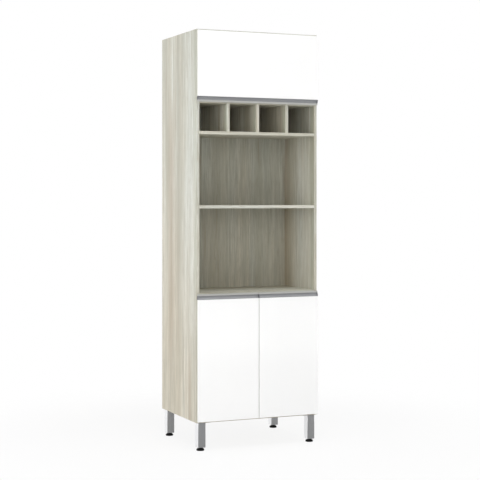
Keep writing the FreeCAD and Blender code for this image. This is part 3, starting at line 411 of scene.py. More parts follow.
@dataclass(frozen=True)
class GlossFront:
    """Front board: white acrylic sheet on the face, printed edge band round it, white melamine behind.

    The face is a clean bright white with a mirror-like gloss and a faint ripple, and the edges are dull
    grey ash, so each front reads as a thin sheet on a board.
    """

    name: str = "white_acrylic_front"
    white: str = "#F8F8F7"
    shade: str = "#F3F3F3"
    band: str = "#DCDCD4"
    band_dark: str = "#D2D1C8"
    behind: str = "#ECECE8"
    face_to: float = -271.3 * MM
    back_from: float = -257.8 * MM
    cloud_mm: Point = (420.0, 420.0, 420.0)
    cloud_detail: float = 1.0
    grain_mm: Point = (6.0, 6.0, 240.0)
    grain_detail: float = 2.0
    ripple_mm: Point = (38.0, 38.0, 38.0)
    ripple_detail: float = 1.0
    # Roughness of the edges and of the face.
    rough: Range = (0.48, 0.07)
    bump: float = 0.05
    relief_mm: float = 0.5

    def build(self) -> bpy.types.Material:
        """Builds the front board's nodes and returns the material."""
        coat = Coat(self.name)
        is_face = coat.add("Math", {"operation": "LESS_THAN", 0: coat.axes["Y"], 1: self.face_to})
        is_back = coat.add("Math", {"operation": "GREATER_THAN", 0: coat.axes["Y"], 1: self.back_from})
        cloud, grain, ripple = (coat.pattern(coat.place, size, detail) for size, detail in (
            (self.cloud_mm, self.cloud_detail), (self.grain_mm, self.grain_detail),
            (self.ripple_mm, self.ripple_detail)))
        face = coat.paint(self.white, (cloud, self.shade))
        whole = coat.paint(self.band, (grain, self.band_dark), (is_back, self.behind), (is_face, face))
        return coat.close(self, whole, is_face, ripple)


@dataclass(frozen=True)
class Worked:
    """A pressed, moulded or sprayed surface with its own fine texture and slight unevenness of tone."""

    name: str
    light: str
    dark: str
    # Real marks are finer; they are drawn coarser so that they show.
    marks_mm: Point
    rough: Range
    bump: float
    relief_mm: float = 0.1
    specular: float = 0.5
    metallic: float = 0.0
    detail: float = 3.0
    roughness: float = 0.6
    # Values of the marks' noise between which the tone goes from light to dark.
    spread: Range = (0.35, 0.65)

    def tone(self, coat: Coat, marks: Any) -> Any:
        """Adds the mix of the surface's two tones, by the noise of its marks."""
        share = coat.add("MapRange", from_to(marks, self.spread))
        return coat.paint(self.light, (share, self.dark))

    def build(self) -> bpy.types.Material:
        """Builds the surface's nodes and returns the material."""
        coat = Coat(self.name)
        coat.set(coat.shader, {"Metallic": self.metallic, "Specular IOR Level": self.specular})
        marks = coat.pattern(coat.place, self.marks_mm, self.detail, self.roughness)
        return coat.close(self, self.tone(coat, marks), marks, marks)


@dataclass(frozen=True)
class Metal(Worked):
    """A metal with a worked surface: brushed, plated or polished.

    The marks are long the way it was drawn or rolled, so light pulls out into fine streaks.
    """

    bump: float = 0.1
    relief_mm: float = 0.05
    metallic: float = 1.0
    spread: Range = (0.0, 1.0)


@dataclass(frozen=True)
class MetalWithPaintedLipHighlight(Metal):
    """A metal with a paler band painted along its lip: a painted highlight where light catches the lip."""

    # Colour of the painted highlight on the lip, within lip_half of lip_z.
    cut: str = "#C0C0BC"
    lip_z: float = 0.0
    lip_half: float = 5.0 * MM

    def tone(self, coat: Coat, marks: Any) -> Any:
        """Adds the painted highlight on the lip to the metal's tones."""
        on_painted_lip_highlight = coat.add("Math", {
            "operation": "COMPARE", 0: coat.axes["Z"], 1: self.lip_z, 2: self.lip_half})
        return coat.paint(super().tone(coat, marks), (on_painted_lip_highlight, self.cut))


@dataclass(frozen=True)
class Hardboard:
    """Pressed wood fibre, wet-laid on a wire screen, with a pale printed film on one face.

    Behind, the eye sees a warm brown with darker flecks, slow clouds of tone and the print of the screen;
    inside the cabinet it sees a plain pale face.
    """

    name: str = "pressed_hardboard"
    light: str = "#B0946E"
    dark: str = "#A58862"
    fleck: str = "#7C6443"
    film: str = "#D9D8CD"
    film_dark: str = "#CDCCC0"
    film_to: float = 269.8 * MM
    cloud_mm: Point = (240.0, 240.0, 240.0)
    cloud_detail: float = 3.0
    cloud_span: Range = (0.35, 0.65)
    # Real flecks are about 1 mm long; they are drawn coarser so that they show.
    fleck_mm: Point = (3.6, 3.6, 6.0)
    fleck_detail: float = 4.0
    fleck_span: Range = (0.50, 0.72)
    fleck_share: Range = (0.0, 0.45)
    screen_mm: float = 2.4
    rough: Range = (0.55, 0.75)
    bump: float = 0.3
    relief_mm: float = 0.2

    def build(self) -> bpy.types.Material:
        """Builds the hardboard's nodes and returns the material."""
        coat = Coat(self.name)
        cloud = coat.pattern(coat.place, self.cloud_mm, self.cloud_detail)
        fleck = coat.pattern(coat.place, self.fleck_mm, self.fleck_detail)
        clouded = coat.add("MapRange", from_to(cloud, self.cloud_span))
        spots = coat.add("MapRange", from_to(fleck, self.fleck_span, self.fleck_share))
        inside = coat.add("Math", {"operation": "LESS_THAN", 0: coat.axes["Y"], 1: self.film_to})
        film = coat.paint(self.film, (clouded, self.film_dark))
        whole = coat.paint(self.light, (clouded, self.dark), (spots, self.fleck), (inside, film))
        per_m = METRE_IN_MM / self.screen_mm
        steps = [coat.add("Math", {"operation": "MULTIPLY", 0: coat.axes[way], 1: per_m}) for way in "XZ"]
        wires = [coat.add("Math", {"operation": "PINGPONG", 0: step, 1: 0.5}) for step in steps]
        screen = coat.add("Math", {"operation": "MULTIPLY", 0: wires[0], 1: wires[1]})
        return coat.close(self, whole, fleck, screen)


class Finishes:
    """The cabinet's finishes, each built once."""

    def __init__(self) -> None:
        """Builds every finish."""
        hearts = (HeartStreak(0.117, 0.082, 1.10, 0.35, 0.95, 0.55),
                  HeartStreak(-0.155, 0.034, 0.15, 0.15, 0.50, 0.55))
        self.ash_upright = AshMelamine(
            "ash_melamine_upright", Grain.UPRIGHT, hearts=hearts, tone_drift=-0.14).build()
        self.ash_across = AshMelamine(
            "ash_melamine_across", Grain.ACROSS, warmth=0.2, front_tint="#F9F7F2").build()
        # The rack's dividers: cut from a paler, warmer stretch of the print.
        self.ash_rack = AshMelamine(
            "ash_melamine_rack", Grain.UPRIGHT, ("#E0E4DF", "#D0D2C8", "#B4B4A7"),
            ("#E3DBC9", "#D1C7B2", "#B0A58F"), warmth=0.25).build()
        # The board behind the niche: the same print, darkened as painted shade for the niche's shadow, with
        # darker streaks and veins, and with a stronger tone drift that pales it towards the bottom as
        # painted light from above.
        self.ash_back_painted_shade = AshMelamine(
            "ash_melamine_back", Grain.UPRIGHT, ("#BBC0B8", "#AFB2A5", "#999A8B"),
            ("#BEB8A6", "#B0A894", "#968D78"), shade="#939184", vein="#8F836E", tone_drift=-0.3).build()
        # The niche's floor: a cooler stretch of the print, made paler as painted light on the floor inside
        # the niche.
        self.ash_sill_painted_light = AshMelamine(
            "ash_melamine_sill", Grain.ACROSS, ("#E0E4DF", "#D2D5CB", "#B8B9AC"),
            ("#E2DCCB", "#D2CAB7", "#B4AA95"), warmth=-0.15, front_tint="#F9F7F2").build()
        self.front = GlossFront().build()
        # Extruded and satin anodised: a cool mid grey with hairlines along the bar.
        # The lip carries a paler band, a painted highlight, so that it shows lighter than the cove.
        self.door_grip, self.flap_grip = (
            MetalWithPaintedLipHighlight(f"anodised_aluminium_{front}_grip", "#9FA0A2", "#8F9092", (240.0, 1.2, 1.2),
                           (0.42, 0.55), metallic=0.45, lip_z=lip_z).build()
            for front, lip_z in (("door", 0.8165), ("flap", 1.8295)))
        # Brushed aluminium tube: bright, with upright hairlines.
        self.leg = Metal(
            "brushed_aluminium_leg", "#F2F3F4", "#E4E5E6", (1.6, 1.6, 140.0), (0.28, 0.42)).build()
        # Zinc plating: pale blue grey, with a fine cloudy crystal tone.
        self.zinc = Metal("zinc_plated_steel", "#BFC3C6", "#A4A8AC", (3.0, 3.0, 3.0), (0.24, 0.40)).build()
        # Steel in a dark oily grey for the feet's nuts, stems and threads: painted shade, standing in for
        # the shadow under the legs.
        self.black_steel = Metal(
            "black_oxide_steel", "#3A3A3C", "#2A2A2C", (2.0, 2.0, 2.0), (0.35, 0.5)).build()
        # Ground and chromed rod: almost a mirror.
        self.rod = Metal(
            "ground_chrome_rod", "#D2D4D6", "#C4C6C9", (0.8, 0.8, 0.8), (0.08, 0.16), 0.03).build()
        # Sprayed enamel: smooth silver grey with a faint orange peel.
        self.enamel = Worked(
            "sprayed_enamel", "#A9ADB0", "#A1A5A9", (2.4, 2.4, 2.4), (0.28, 0.36), 0.12).build()
        # Moulded black plastic: near black with a fine spark-eroded grain.
        self.plastic = Worked(
            "moulded_black_plastic", "#0B0B0C", "#060607", (0.9, 0.9, 0.9), (0.55, 0.7), 0.3,
            specular=0.2).build()
        # The same moulding in dark grey, for the ends of the grips.
        self.grey_plastic = Worked(
            "moulded_grey_plastic", "#6C6D70", "#626366", (0.9, 0.9, 0.9), (0.5, 0.62), 0.2,
            specular=0.3).build()
        # Cast polyurethane: milky, slightly dull.
        self.bumper = Worked(
            "cast_polyurethane", "#E4E5E1", "#DADBD6", (1.5, 1.5, 1.5), (0.35, 0.45), 0.1).build()
        self.hardboard = Hardboard().build()
        # Turned beech: pinkish tan with short dark flecks along the dowel.
        self.beech = Worked("turned_beech", "#D9B98F", "#C7A274", (6.0, 0.9, 0.9), (0.5, 0.62), 0.2).build()


def add_object(name: str, data: Any) -> bpy.types.Object:
    """Puts a mesh, a light or a camera in the scene as an object and returns it."""
    thing = bpy.data.objects.new(name, data)
    bpy.context.scene.collection.objects.link(thing)
    return thing


def from_shape(name: str, shape: bmesh.types.BMesh, finish: bpy.types.Material) -> bpy.types.Object:
    """Makes an object from a shape and frees the shape.

    Args:
        name: The object's name.
        shape: The shape.
        finish: Its material.

    Returns:
        The object.
    """
    mesh = bpy.data.meshes.new(name)
    shape.to_mesh(mesh)
    shape.free()
    mesh.materials.append(finish)
    LOG.info("built %s with %d faces", name, len(mesh.polygons))
    return add_object(name, mesh)


def break_edges(piece: bpy.types.Object, width_mm: float, harden: bool) -> None:
    """Breaks the sharp edges of a piece softly.

    Args:
        piece: The piece, with its corners merged.
        width_mm: Width of the broken edge.
        harden: Whether the faces beside it keep their flat shading.
    """
    bevel = piece.modifiers.new("broken_edge", "BEVEL")
    bevel.width = width_mm * MM
    bevel.segments = EDGE_STEPS
    bevel.limit_method = "ANGLE"
    bevel.angle_limit = math.radians(SHARP_DEG)
    bevel.harden_normals = harden


class GrowTree(NodeTree):
    """A Geometry Nodes tree in the making, which then grows pieces of one finish from paths."""

    family = "GeometryNode"

    def __init__(self, name: str, lengths: tuple[str, ...], counts: tuple[str, ...],
                 vectors: tuple[str, ...] = ()) -> None:
        """Starts the tree, with inputs for the path and the finish as well.

        Args:
            name: The tree's name.
            lengths: Names of the inputs that are lengths.
            counts: Names of the inputs that are whole numbers.
            vectors: Names of the inputs that are places or sizes in x, y and z.
        """
        super().__init__(bpy.data.node_groups.new(name, "GeometryNodeTree"))
        for kind, labels in {"Geometry": ("Geometry",), "Float": lengths, "Int": counts, "Vector": vectors,
                             "Material": ("Finish",)}.items():
            for label in labels:
                self.tree.interface.new_socket(label, in_out="INPUT", socket_type=f"NodeSocket{kind}")
        self.tree.interface.new_socket("Geometry", in_out="OUTPUT", socket_type="NodeSocketGeometry")
        self.inputs = self.add("NodeGroupInput").outputs

    def close(self, instances: Any) -> None:
        """Ends the tree: makes its instances real, gives them the finish and puts them out."""
        real = self.add("RealizeInstances", {"Geometry": instances})
        dressed = self.add("SetMaterial", {"Geometry": real, "Material": self.inputs["Finish"]})
        self.add("NodeGroupOutput", {"Geometry": dressed})

    def grow(self, name: str, values: dict[str, Any], points: list[Point],
             runs: list[tuple[int, int]]) -> bpy.types.Object:
        """Makes one plain mesh piece with the tree.

        Args:
            name: The piece's name.
            values: A value for each named input of the tree.
            points: The points of the path that the tree works on.
            runs: The straight runs of the path, as pairs of points.

        Returns:
            The piece, with no modifier left.
        """
        path = bpy.data.meshes.new(name)
        path.from_pydata(points, runs, [])
        piece = add_object(name, path)
        grower = piece.modifiers.new("grow", "NODES")
        grower.node_group = self.tree
        for item in self.tree.interface.items_tree:
            if item.name in values:
                grower[item.identifier] = values[item.name]
        bpy.context.view_layer.update()
        made = piece.evaluated_get(bpy.context.evaluated_depsgraph_get())
        mesh = bpy.data.meshes.new_from_object(made)
        piece.modifiers.remove(grower)
        piece.data = mesh
        LOG.info("grew %s with %d faces", name, len(mesh.polygons))
        return piece


@dataclass
class SubAssembly:
    """A sub-assembly of the cabinet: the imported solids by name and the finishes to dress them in."""

    nodes: dict[str, Any]
    finishes: Finishes

    def build(self) -> None:
        """Builds the pieces, in each sub-assembly's own way."""
        raise NotImplementedError

    def dress(self, names: list[str], finish: bpy.types.Material, bevel_mm: float = 0.0) -> None:
        """Gives carried-over solids their finish and, where asked, softly broken edges.

        Args:
            names: The solids to dress.
            finish: Their material.
            bevel_mm: Width of the broken edge, or 0 for none.
        """
        for name in names:
            node = self.nodes[name]
            if not node.material_slots:
                node.data.materials.append(finish)
            for slot in node.material_slots:
                slot.material = finish
            if bevel_mm:
                node.modifiers.new("merge", "WELD").merge_threshold = MERGE
                break_edges(node, bevel_mm, harden=True)
            LOG.info("dressed %s in %s", name, finish.name)

    def remake(self, node: str, name: str, body: str, finish: bpy.types.Material,
               reshape: Callable[[Vector], None]) -> bpy.types.Object:
        """Makes a piece from a merged copy of a solid's mesh, to stand for that solid.

        Args:
            node: The solid.
            name: The piece's name.
            body: The body that the piece rides on.
            finish: Its material.
            reshape: Moves one corner of the copy to its new place.

        Returns:
            The piece.
        """
        shape = bmesh.new()
        shape.from_mesh(self.nodes[node].data)
        bmesh.ops.remove_doubles(shape, verts=shape.verts, dist=MERGE)
        for corner in shape.verts:
            reshape(corner.co)
        piece = from_shape(name, shape, finish)
        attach(piece, body)
        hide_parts(node)
        return piece


@dataclass
class Carcass(SubAssembly):
    """The boards and the fittings that hold them."""

    edge_mm: float = 0.5

    def build(self) -> None:
        """Dresses the boards and fittings."""
        look = self.finishes
        self.dress([f"{hand}_side_panel" for hand in HANDS], look.ash_upright, self.edge_mm)
        self.dress([f"rack_divider_{place}" for place in (*HANDS, "middle")], look.ash_rack, self.edge_mm)
        self.dress(["top_panel", "rack_ceiling_panel", "rack_floor_panel", "niche_shelf", "bottom_panel",
                    "base_shelf"], look.ash_across, self.edge_mm)
        # The niche's floor wears the paler copy of the print: painted light.
        self.dress(["niche_floor_panel"], look.ash_sill_painted_light, self.edge_mm)
        # The niche's back board wears the darkened copy of the print: painted shade.
        self.dress(["niche_back_panel"], look.ash_back_painted_shade)
        self.dress(["dowels"], look.beech)
        self.dress(["cam_locks", "cam_bolts", "shelf_pins", "wall_brackets", "leg_plates", "hinge_arms",
                    "hinge_plates", "strut_side_brackets", "bracket_screws"], look.zinc)
        self.dress(["door_bumpers"], look.bumper)


@dataclass
class RearBoards(SubAssembly):
    """The two hardboard sheets of the back, the strip that joins them and the nails that hold them."""

    nail_pitch: float = 112.0 * MM
    nail_radius: float = 4.0 * MM
    nail_crown_share: float = 0.72
    nail_rise: float = 0.4 * MM
    nail_sides: int = 14
    nail_least_gap: float = 20.0 * MM
    column_x: float = 342.0 * MM
    face_y: float = 272.5 * MM
    edge_mm: float = 0.4
    upper_rows: Point = (838.0 * MM, 1828.0 * MM, 2197.0 * MM)
    lower_rows: Range = (156.0 * MM, 798.0 * MM)
    seam_z: float = 818.0 * MM
    strip_half: float = 9.0 * MM
    strip_end_x: float = 348.0 * MM
    strip_crown: float = 3.0 * MM

    def build(self) -> None:
        """Builds the strip, the sheets and their nails."""
        tree = self.nail_tree()
        self.strip()
        for place, rows, crossed in (("upper", self.upper_rows, self.upper_rows[1:]),
                                     ("lower", self.lower_rows, self.lower_rows[:1])):
            self.sheet(place)
            x, y = self.column_x, self.face_y - self.nail_rise
            points = [(side * x, y, z) for z in rows for side in (-1, 1)]
            runs = [(i, i + 1) for i in range(0, len(points), 2) if points[i][2] in crossed]
            runs += [(i, i + 2) for i in range(len(points) - 2)]
            nails = tree.grow(f"rear_nails_{place}", {
                "Pitch": self.nail_pitch, "Radius": self.nail_radius, "Rise": self.nail_rise,
                "Sides": self.nail_sides, "Least Gap": self.nail_least_gap, "Finish": self.finishes.zinc},
                points, runs)
            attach(nails, "carcass")

    def sheet(self, place: str) -> None:
        """Builds one sheet from its solid, set in behind the nails' heads, with its edges broken.

        Args:
            place: Which of the two sheets it is.
        """
        def set_in(corner: Vector) -> None:
            """Moves a corner of the outer face in by the height of a nail's head."""
            if corner.y > self.face_y - MERGE:
                corner.y -= self.nail_rise

        sheet = self.remake(
            f"rear_panel_{place}", f"rear_sheet_{place}", "carcass", self.finishes.hardboard, set_in)
        break_edges(sheet, self.edge_mm, harden=False)

    def strip(self) -> None:
        """Builds the outer flange of the plastic strip that joins the sheets, with its low crown."""
        low, high = self.face_y - self.nail_rise, self.face_y
        middle, half, flat = (low + high) / 2, self.strip_half, self.strip_half - self.strip_crown
        section = ((low, -half), (middle, -half), (high, -flat), (high, flat), (middle, half), (low, half))
        shape = bmesh.new()
        rings = [[shape.verts.new((side * self.strip_end_x, y, self.seam_z + z)) for y, z in section]
                 for side in (-1, 1)]
        for i in range(len(section)):
            j = (i + 1) % len(section)
            shape.faces.new((rings[0][i], rings[0][j], rings[1][j], rings[1][i]))
        for ring in rings:
            shape.faces.new(ring)
        bmesh.ops.recalc_face_normals(shape, faces=shape.faces)
        strip = from_shape("rear_joint_strip", shape, self.finishes.plastic)
        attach(strip, "carcass")

    def nail_tree(self) -> GrowTree:
        """Builds the tree that sets flat nail heads along a path, facing backwards."""
        tree = GrowTree("nail_rows", ("Pitch", "Radius", "Rise", "Least Gap"), ("Sides",))
        source = tree.inputs
        line = tree.add("MeshToCurve", {"Mesh": source["Geometry"]})
        steps = tree.add("ResampleCurve", {"mode": "LENGTH", "Curve": line, "Length": source["Pitch"]})
        spots = tree.add("CurveToPoints", {"mode": "EVALUATED", "Curve": steps})
        places = tree.add("MergeByDistance", {"Geometry": spots, "Distance": source["Least Gap"]})
        crown = tree.add("ShaderNodeMath", {
            "operation": "MULTIPLY", 0: source["Radius"], 1: self.nail_crown_share})
        head = tree.add("MeshCone", {"Vertices": source["Sides"], "Radius Top": crown,
                                     "Radius Bottom": source["Radius"], "Depth": source["Rise"]})
        turned = tree.add("Transform", {"Geometry": head, "Rotation": (math.radians(-90), 0.0, 0.0)})
        tree.close(tree.add("InstanceOnPoints", {"Points": places, "Instance": turned}))
        return tree


@dataclass
class Fronts(SubAssembly):
    """The two doors and the lift-up flap with their grip profiles and hinges, and the flap's gas struts."""

    edge_mm: float = 0.4

    def build(self) -> None:
        """Dresses the front boards, grips, hinge halves and struts."""
        look = self.finishes
        self.dress(["left_door_panel", "right_door_panel", "flap_panel"], look.front, self.edge_mm)
        self.dress(["left_door_handle", "right_door_handle"], look.door_grip)
        self.dress(["flap_handle"], look.flap_grip)
        for hand in HANDS:
            self.dress([f"{hand}_hinge_cups", f"{hand}_hinge_pins", f"{hand}_cup_screws"], look.zinc)
            self.dress([f"strut_{hand}_cylinder"], look.enamel)
            self.dress([f"strut_{hand}_rod"], look.rod)
        self.dress(["flap_hinge_cups", "flap_hinge_pins", "flap_screws", "strut_flap_brackets"], look.zinc)


@dataclass
class GripCaps(SubAssembly):
    """The moulded caps that close the cove at both ends of each front's grip profile, below its lip."""

    profile_height: float = 29.0 * MM
    cove_height: float = 20.0 * MM
    front_y: float = -272.5 * MM
    thickness: float = 2.0 * MM
    proud: float = 0.3 * MM
    swell: float = 1.03
    flat_deg: float = 2.0

    def build(self) -> None:
        """Builds a pair of caps for each grip, which stands on a door and hangs from the flap."""
        for body, stands in (("left_door", True), ("right_door", True), ("flap", False)):
            self.pair(body, stands)

    def pair(self, body: str, stands: bool) -> None:
        """Builds the two caps of one grip.

        Args:
            body: The front that the grip is on.
            stands: Whether the grip stands on the front's edge; otherwise it hangs from it.
        """
        low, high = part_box(f"{body}_handle")
        way = 1 if stands else -1
        edge_z = (high[2] if stands else low[2]) - way * self.profile_height
        shape = bmesh.new()
        for end_x, outward in ((low[0], -1), (high[0], 1)):
            section = {(corner.co.y, corner.co.z) for corner in self.nodes[f"{body}_handle"].data.vertices
                       if abs(corner.co.x - end_x) < MERGE}
            section = [(y, z) for y, z in sorted(section)
                       if MERGE < (z - edge_z) * way < self.cove_height + MERGE]
            middle_y, middle_z = (sum(values) / len(section) for values in zip(*section))
            corners = []
            for y, z in section:
                y = max(middle_y + (y - middle_y) * self.swell, self.front_y + self.proud)
                z = middle_z + (z - middle_z) * self.swell
                corners += [shape.verts.new((end_x + outward * x, y, z))
                            for x in (-self.thickness, self.proud)]
            hull = bmesh.ops.convex_hull(shape, input=corners)
            spare = {item for item in hull["geom_interior"] if isinstance(item, bmesh.types.BMVert)}
            bmesh.ops.delete(shape, geom=list(spare), context="VERTS")
        bmesh.ops.dissolve_limit(shape, angle_limit=math.radians(self.flat_deg), verts=shape.verts,
                                 edges=shape.edges)
        bmesh.ops.recalc_face_normals(shape, faces=shape.faces)
        caps = from_shape(f"{body}_grip_caps", shape, self.finishes.grey_plastic)
        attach(caps, body)


@dataclass
class LegsAndFeet(SubAssembly):
    """The four square tube legs and their screw feet, with threaded stems and ribbed rims."""

    edge_mm: float = 0.6
    rim_radius: float = 20.0 * MM
    rib_count: int = 30
    rib_width: float = 1.6 * MM
    rib_depth: float = 1.2 * MM
    rib_height: float = 4.6 * MM
    rib_middle_z: float = 3.6 * MM
    stem_radius: float = 4.0 * MM
    thread_pitch: float = 1.25 * MM
    thread_root: float = 3.4 * MM
    thread_crest: float = 3.97 * MM
    thread_from_z: float = 12.0 * MM
    thread_to_z: float = 43.0 * MM
    thread_steps: int = 16
    thread_corners: int = 4

    def build(self) -> None:
        """Dresses the legs, their plugs and the feet, and builds the feet's stems, ribs and threads."""
        look = self.finishes
        rib_tree, thread_tree = self.rib_tree(), self.thread_tree()
        start = [(0.0, 0.0, 0.0)]
        for corner in CORNERS:
            self.dress([f"leg_{corner}"], look.leg, self.edge_mm)
            self.dress([f"foot_pad_{corner}"], look.plastic, self.edge_mm)
            low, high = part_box(f"leg_{corner}")
            x, y = (low[0] + high[0]) / 2, (low[1] + high[1]) / 2
            self.stem(corner, (x, y))
            ribs = rib_tree.grow(f"foot_ribs_{corner}", {
                "Count": self.rib_count, "Ring Radius": self.rim_radius,
                "Rib": (self.rib_depth, self.rib_width, self.rib_height),
                "Centre": (x, y, self.rib_middle_z), "Finish": look.plastic}, start, [])
            # The thread is in the darkened steel: painted shade for the shadow under the leg.
            thread = thread_tree.grow(f"foot_thread_{corner}", {
                "Pitch": self.thread_pitch, "Length": self.thread_to_z - self.thread_from_z,
                "Root": self.thread_root, "Depth": self.thread_crest - self.thread_root,
                "Steps": self.thread_steps, "Foot": (x, y, self.thread_from_z),
                "Finish": look.black_steel}, start, [])
            for piece, slot in ((ribs, "black_plastic"), (thread, "black_steel")):
                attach(piece, f"foot_{corner}")
        self.dress(["leg_end_plugs"], look.plastic)

    def stem(self, corner: str, middle: Range) -> None:
        """Builds one foot's nut and its stem, turned down to the root of the thread.

        Args:
            corner: The foot's corner of the cabinet.
            middle: The stem's axis in x and y.
        """
        axis = Vector(middle)

        def turn_down(point: Vector) -> None:
            """Moves a point of the stem's wall in to the root, and leaves the nut."""
            out = point.xy - axis
            if out.length < self.stem_radius + MERGE:
                point.xy = axis + out * (self.thread_root / self.stem_radius)

        # The nut and stem are in the darkened steel: painted shade for the shadow under the leg.
        stem = self.remake(f"foot_screw_{corner}", f"foot_stem_{corner}", f"foot_{corner}",
                           self.finishes.black_steel, turn_down)

    def thread_tree(self) -> GrowTree:
        """Builds the tree that winds a pointed thread round a stem."""
        tree = GrowTree("screw_thread", ("Pitch", "Length", "Root", "Depth"), ("Steps",), ("Foot",))
        source = tree.inputs
        turns = tree.add("ShaderNodeMath", {
            "operation": "DIVIDE", 0: source["Length"], 1: source["Pitch"]})
        helix = tree.add("CurveSpiral", {
            "Resolution": source["Steps"], "Rotations": turns, "Start Radius": source["Root"],
            "End Radius": source["Root"], "Height": source["Length"]})
        level = tree.add("SetCurveNormal", {"mode": "Z_UP", "Curve": helix})
        ridge = tree.add("CurvePrimitiveCircle", {
            "Resolution": self.thread_corners, "Radius": source["Depth"]})
        wound = tree.add("CurveToMesh", {"Curve": level, "Profile Curve": ridge, "Fill Caps": True})
        tree.close(tree.add("Transform", {"Geometry": wound, "Translation": source["Foot"]}))
        return tree

    def rib_tree(self) -> GrowTree:
        """Builds the tree that sets upright ribs round a foot's rim."""
        tree = GrowTree("foot_ribs", ("Ring Radius",), ("Count",), ("Rib", "Centre"))
        source = tree.inputs
        ring = tree.add("MeshCircle", {"Vertices": source["Count"], "Radius": source["Ring Radius"]})
        turned = tree.add("FunctionNodeAlignRotationToVector", {
            "axis": "X", "pivot_axis": "Z", "Vector": tree.add("InputPosition")})
        rib = tree.add("MeshCube", {"Size": source["Rib"]})
        ribs = tree.add("InstanceOnPoints", {"Points": ring, "Instance": rib, "Rotation": turned})
        tree.close(tree.add("Transform", {"Geometry": ribs, "Translation": source["Centre"]}))
        return tree


@dataclass(frozen=True)
class Softbox:
    """One rectangular soft light: its centre, the point that it faces, its sizes and its power in watts."""

    name: str
    place: Point
    aim: Point
    width: float
    height: float
    power: float

    def hang(self) -> None:
        """Hangs the light, unseen by the camera."""
        data = bpy.data.lights.new(self.name, "AREA")
        data.shape = "RECTANGLE"
        data.size, data.size_y = self.width, self.height
        data.energy = self.power
        light = add_object(self.name, data)
        light.location = self.place
        light.rotation_euler = (Vector(self.aim) - Vector(self.place)).to_track_quat("-Z", "Y").to_euler()
        light.visible_camera = False


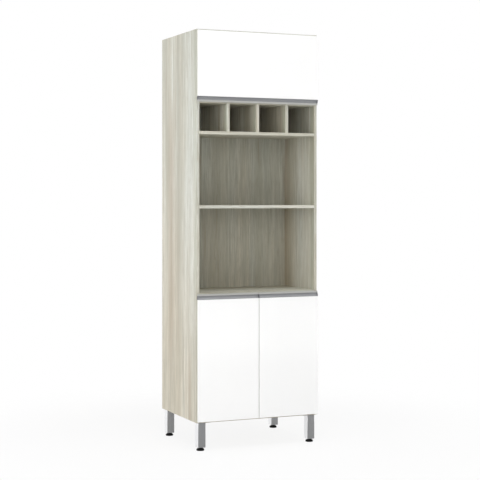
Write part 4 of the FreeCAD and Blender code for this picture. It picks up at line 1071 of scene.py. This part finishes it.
@dataclass
class Studio:
    """White floor and background, soft light from the left and above, and the camera."""

    camera_at: Point = (-2.8043, -6.5070, 1.3175)
    yaw_deg: float = 23.38
    lens_mm: float = 96.585
    sensor_mm: float = 36.0
    shift_side: float = -0.0006
    shift_up: float = -0.0855
    softboxes: tuple[Softbox, ...] = (
        Softbox("left_softbox", (-5.0, -1.8, 1.9), (0.0, 0.0, 1.2), 3.0, 3.2, 98.0),
        Softbox("front_left_softbox", (-2.4, -5.45, 2.2), (0.0, 0.0, 1.1), 3.0, 2.6, 76.0),
        Softbox("right_softbox", (5.0, -2.4, 1.6), (0.0, 0.0, 1.1), 3.0, 3.0, 62.0),
        Softbox("top_softbox", (0.0, -2.2, 6.2), (0.0, -0.2, 1.0), 3.6, 2.4, 104.0),
        Softbox("rear_left_softbox", (-2.7, 4.4, 1.5), (0.0, 0.0, 1.0), 2.2, 3.2, 34.0),
        Softbox("rear_right_softbox", (2.9, 4.4, 1.7), (0.0, 0.0, 1.1), 2.2, 3.2, 34.0))
    ambient: float = 0.45
    # The surroundings dim to this level between these two values of a direction's y, towards the front.
    front_gloom: float = 0.22
    gloom_y: Range = (-0.95, -0.25)
    floor_half: float = 9.0
    floor_matt: str = "#F4F4F4"
    # The share of the floor that is see-through, near the cabinet and away from it.
    clear_m: Range = (0.75, 2.2)
    clear_share: Range = (0.86, 1.0)
    flag_outline: tuple[Range, ...] = (
        (-0.342, -4.0), (2.4, -4.0), (1.0, -0.3), (0.6, 0.05), (0.365, 0.3), (0.3, 0.3), (0.3, -0.255),
        (-0.03, -0.255), (-0.03, 0.3), (-0.342, 0.3))
    flag_lift: float = 0.001

    def build(self) -> None:
        """Builds the camera, the light and the floor."""
        self.camera()
        self.world()
        for softbox in self.softboxes:
            softbox.hang()
        self.floor()
        self.flag()

    def camera(self) -> None:
        """Sets the camera where the photograph was taken from."""
        data = bpy.data.cameras.new("camera")
        data.lens, data.sensor_width = self.lens_mm, self.sensor_mm
        data.shift_x, data.shift_y = self.shift_side, self.shift_up
        camera = add_object("camera", data)
        camera.location = self.camera_at
        camera.rotation_euler = (math.radians(90), 0.0, math.radians(-self.yaw_deg))
        bpy.context.scene.camera = camera

    def world(self) -> None:
        """Makes the surroundings white to the camera, dim before a mirror and a soft fill elsewhere."""
        world = bpy.data.worlds.new("white_studio")
        bpy.context.scene.world = world
        tree = NodeTree(bare_tree(world))
        path, shown = self.seen_directly(tree)
        way = tree.add("TexCoord").outputs["Generated"]
        ahead = tree.add("SeparateXYZ", {"Vector": way}).outputs["Y"]
        mirrored = tree.add("MapRange", from_to(ahead, self.gloom_y, (self.front_gloom, 1.0)))
        bright = tree.add("Math", {"operation": "MAXIMUM", 0: mirrored, 1: path["Is Camera Ray"]})
        level = tree.add("MapRange", from_to(shown, (0.0, 1.0), (self.ambient, bright)))
        light = tree.add("Background", {"Color": WHITE, "Strength": level})
        tree.add("OutputWorld", {"Surface": light})

    def seen_directly(self, tree: NodeTree) -> tuple[Any, Any]:
        """Tells the rays that see the surroundings, in a view or a mirror, from those that only light.

        Args:
            tree: The node tree that asks.

        Returns:
            The sockets with the kinds of ray, and the node that is 1 for a ray that sees.
        """
        path = tree.add("LightPath").outputs
        seen = path["Is Camera Ray"]
        for kind in ("Is Glossy Ray", "Is Transmission Ray"):
            seen = tree.add("Math", {"operation": "MAXIMUM", 0: seen, 1: path[kind]})
        return path, seen

    def floor(self) -> None:
        """Lays the white floor, which keeps a faint shadow and lets a screwed-out foot show through."""
        material = bpy.data.materials.new("white_studio_floor")
        tree = NodeTree(bare_tree(material))
        place = tree.add("TexCoord").outputs["Object"]
        away = tree.add("VectorMath", {"operation": "LENGTH", 0: place})
        clear = tree.add("MapRange", SMOOTH | from_to(away, self.clear_m, self.clear_share))
        path, shown = self.seen_directly(tree)
        share = tree.add("Math", {"operation": "MULTIPLY", 0: shown, 1: clear})
        matt = tree.add("BsdfDiffuse", {"Color": self.floor_matt})
        white = tree.add("Emission", {"Color": WHITE, "Strength": 1.0})
        beyond = tree.add("MixShader", {0: path["Is Camera Ray"], 1: white, 2: tree.add("BsdfTransparent")})
        mixed = tree.add("MixShader", {0: share, 1: matt, 2: beyond})
        tree.add("OutputMaterial", {"Surface": mixed})
        shape = bmesh.new()
        bmesh.ops.create_grid(shape, x_segments=2, y_segments=2, size=self.floor_half)
        floor = from_shape("studio_floor", shape, material)

    def flag(self) -> None:
        """Lays a grey card before and under the cabinet that only metal mirrors, as a studio flag does."""
        material = bpy.data.materials.new("grey_studio_card")
        tree = NodeTree(bare_tree(material))
        card = tree.add("Emission", {"Color": WHITE, "Strength": self.front_gloom})
        tree.add("OutputMaterial", {"Surface": card})
        shape = bmesh.new()
        shape.faces.new([shape.verts.new((x, y, self.flag_lift)) for x, y in self.flag_outline])
        flag = from_shape("studio_flag", shape, material)
        flag.visible_camera = flag.visible_diffuse = flag.visible_shadow = flag.visible_transmission = False


def main() -> None:
    """Loads the cabinet, dresses it and sets up the studio."""
    logging.basicConfig(level=logging.INFO, format="%(name)s: %(message)s")
    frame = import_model()
    bpy.context.scene.view_settings.view_transform = "Standard"
    finishes = Finishes()
    for part in (Carcass, RearBoards, Fronts, GripCaps, LegsAndFeet):
        part(frame["nodes"], finishes).build()
    Studio().build()


if __name__ == "__main__":
    main()
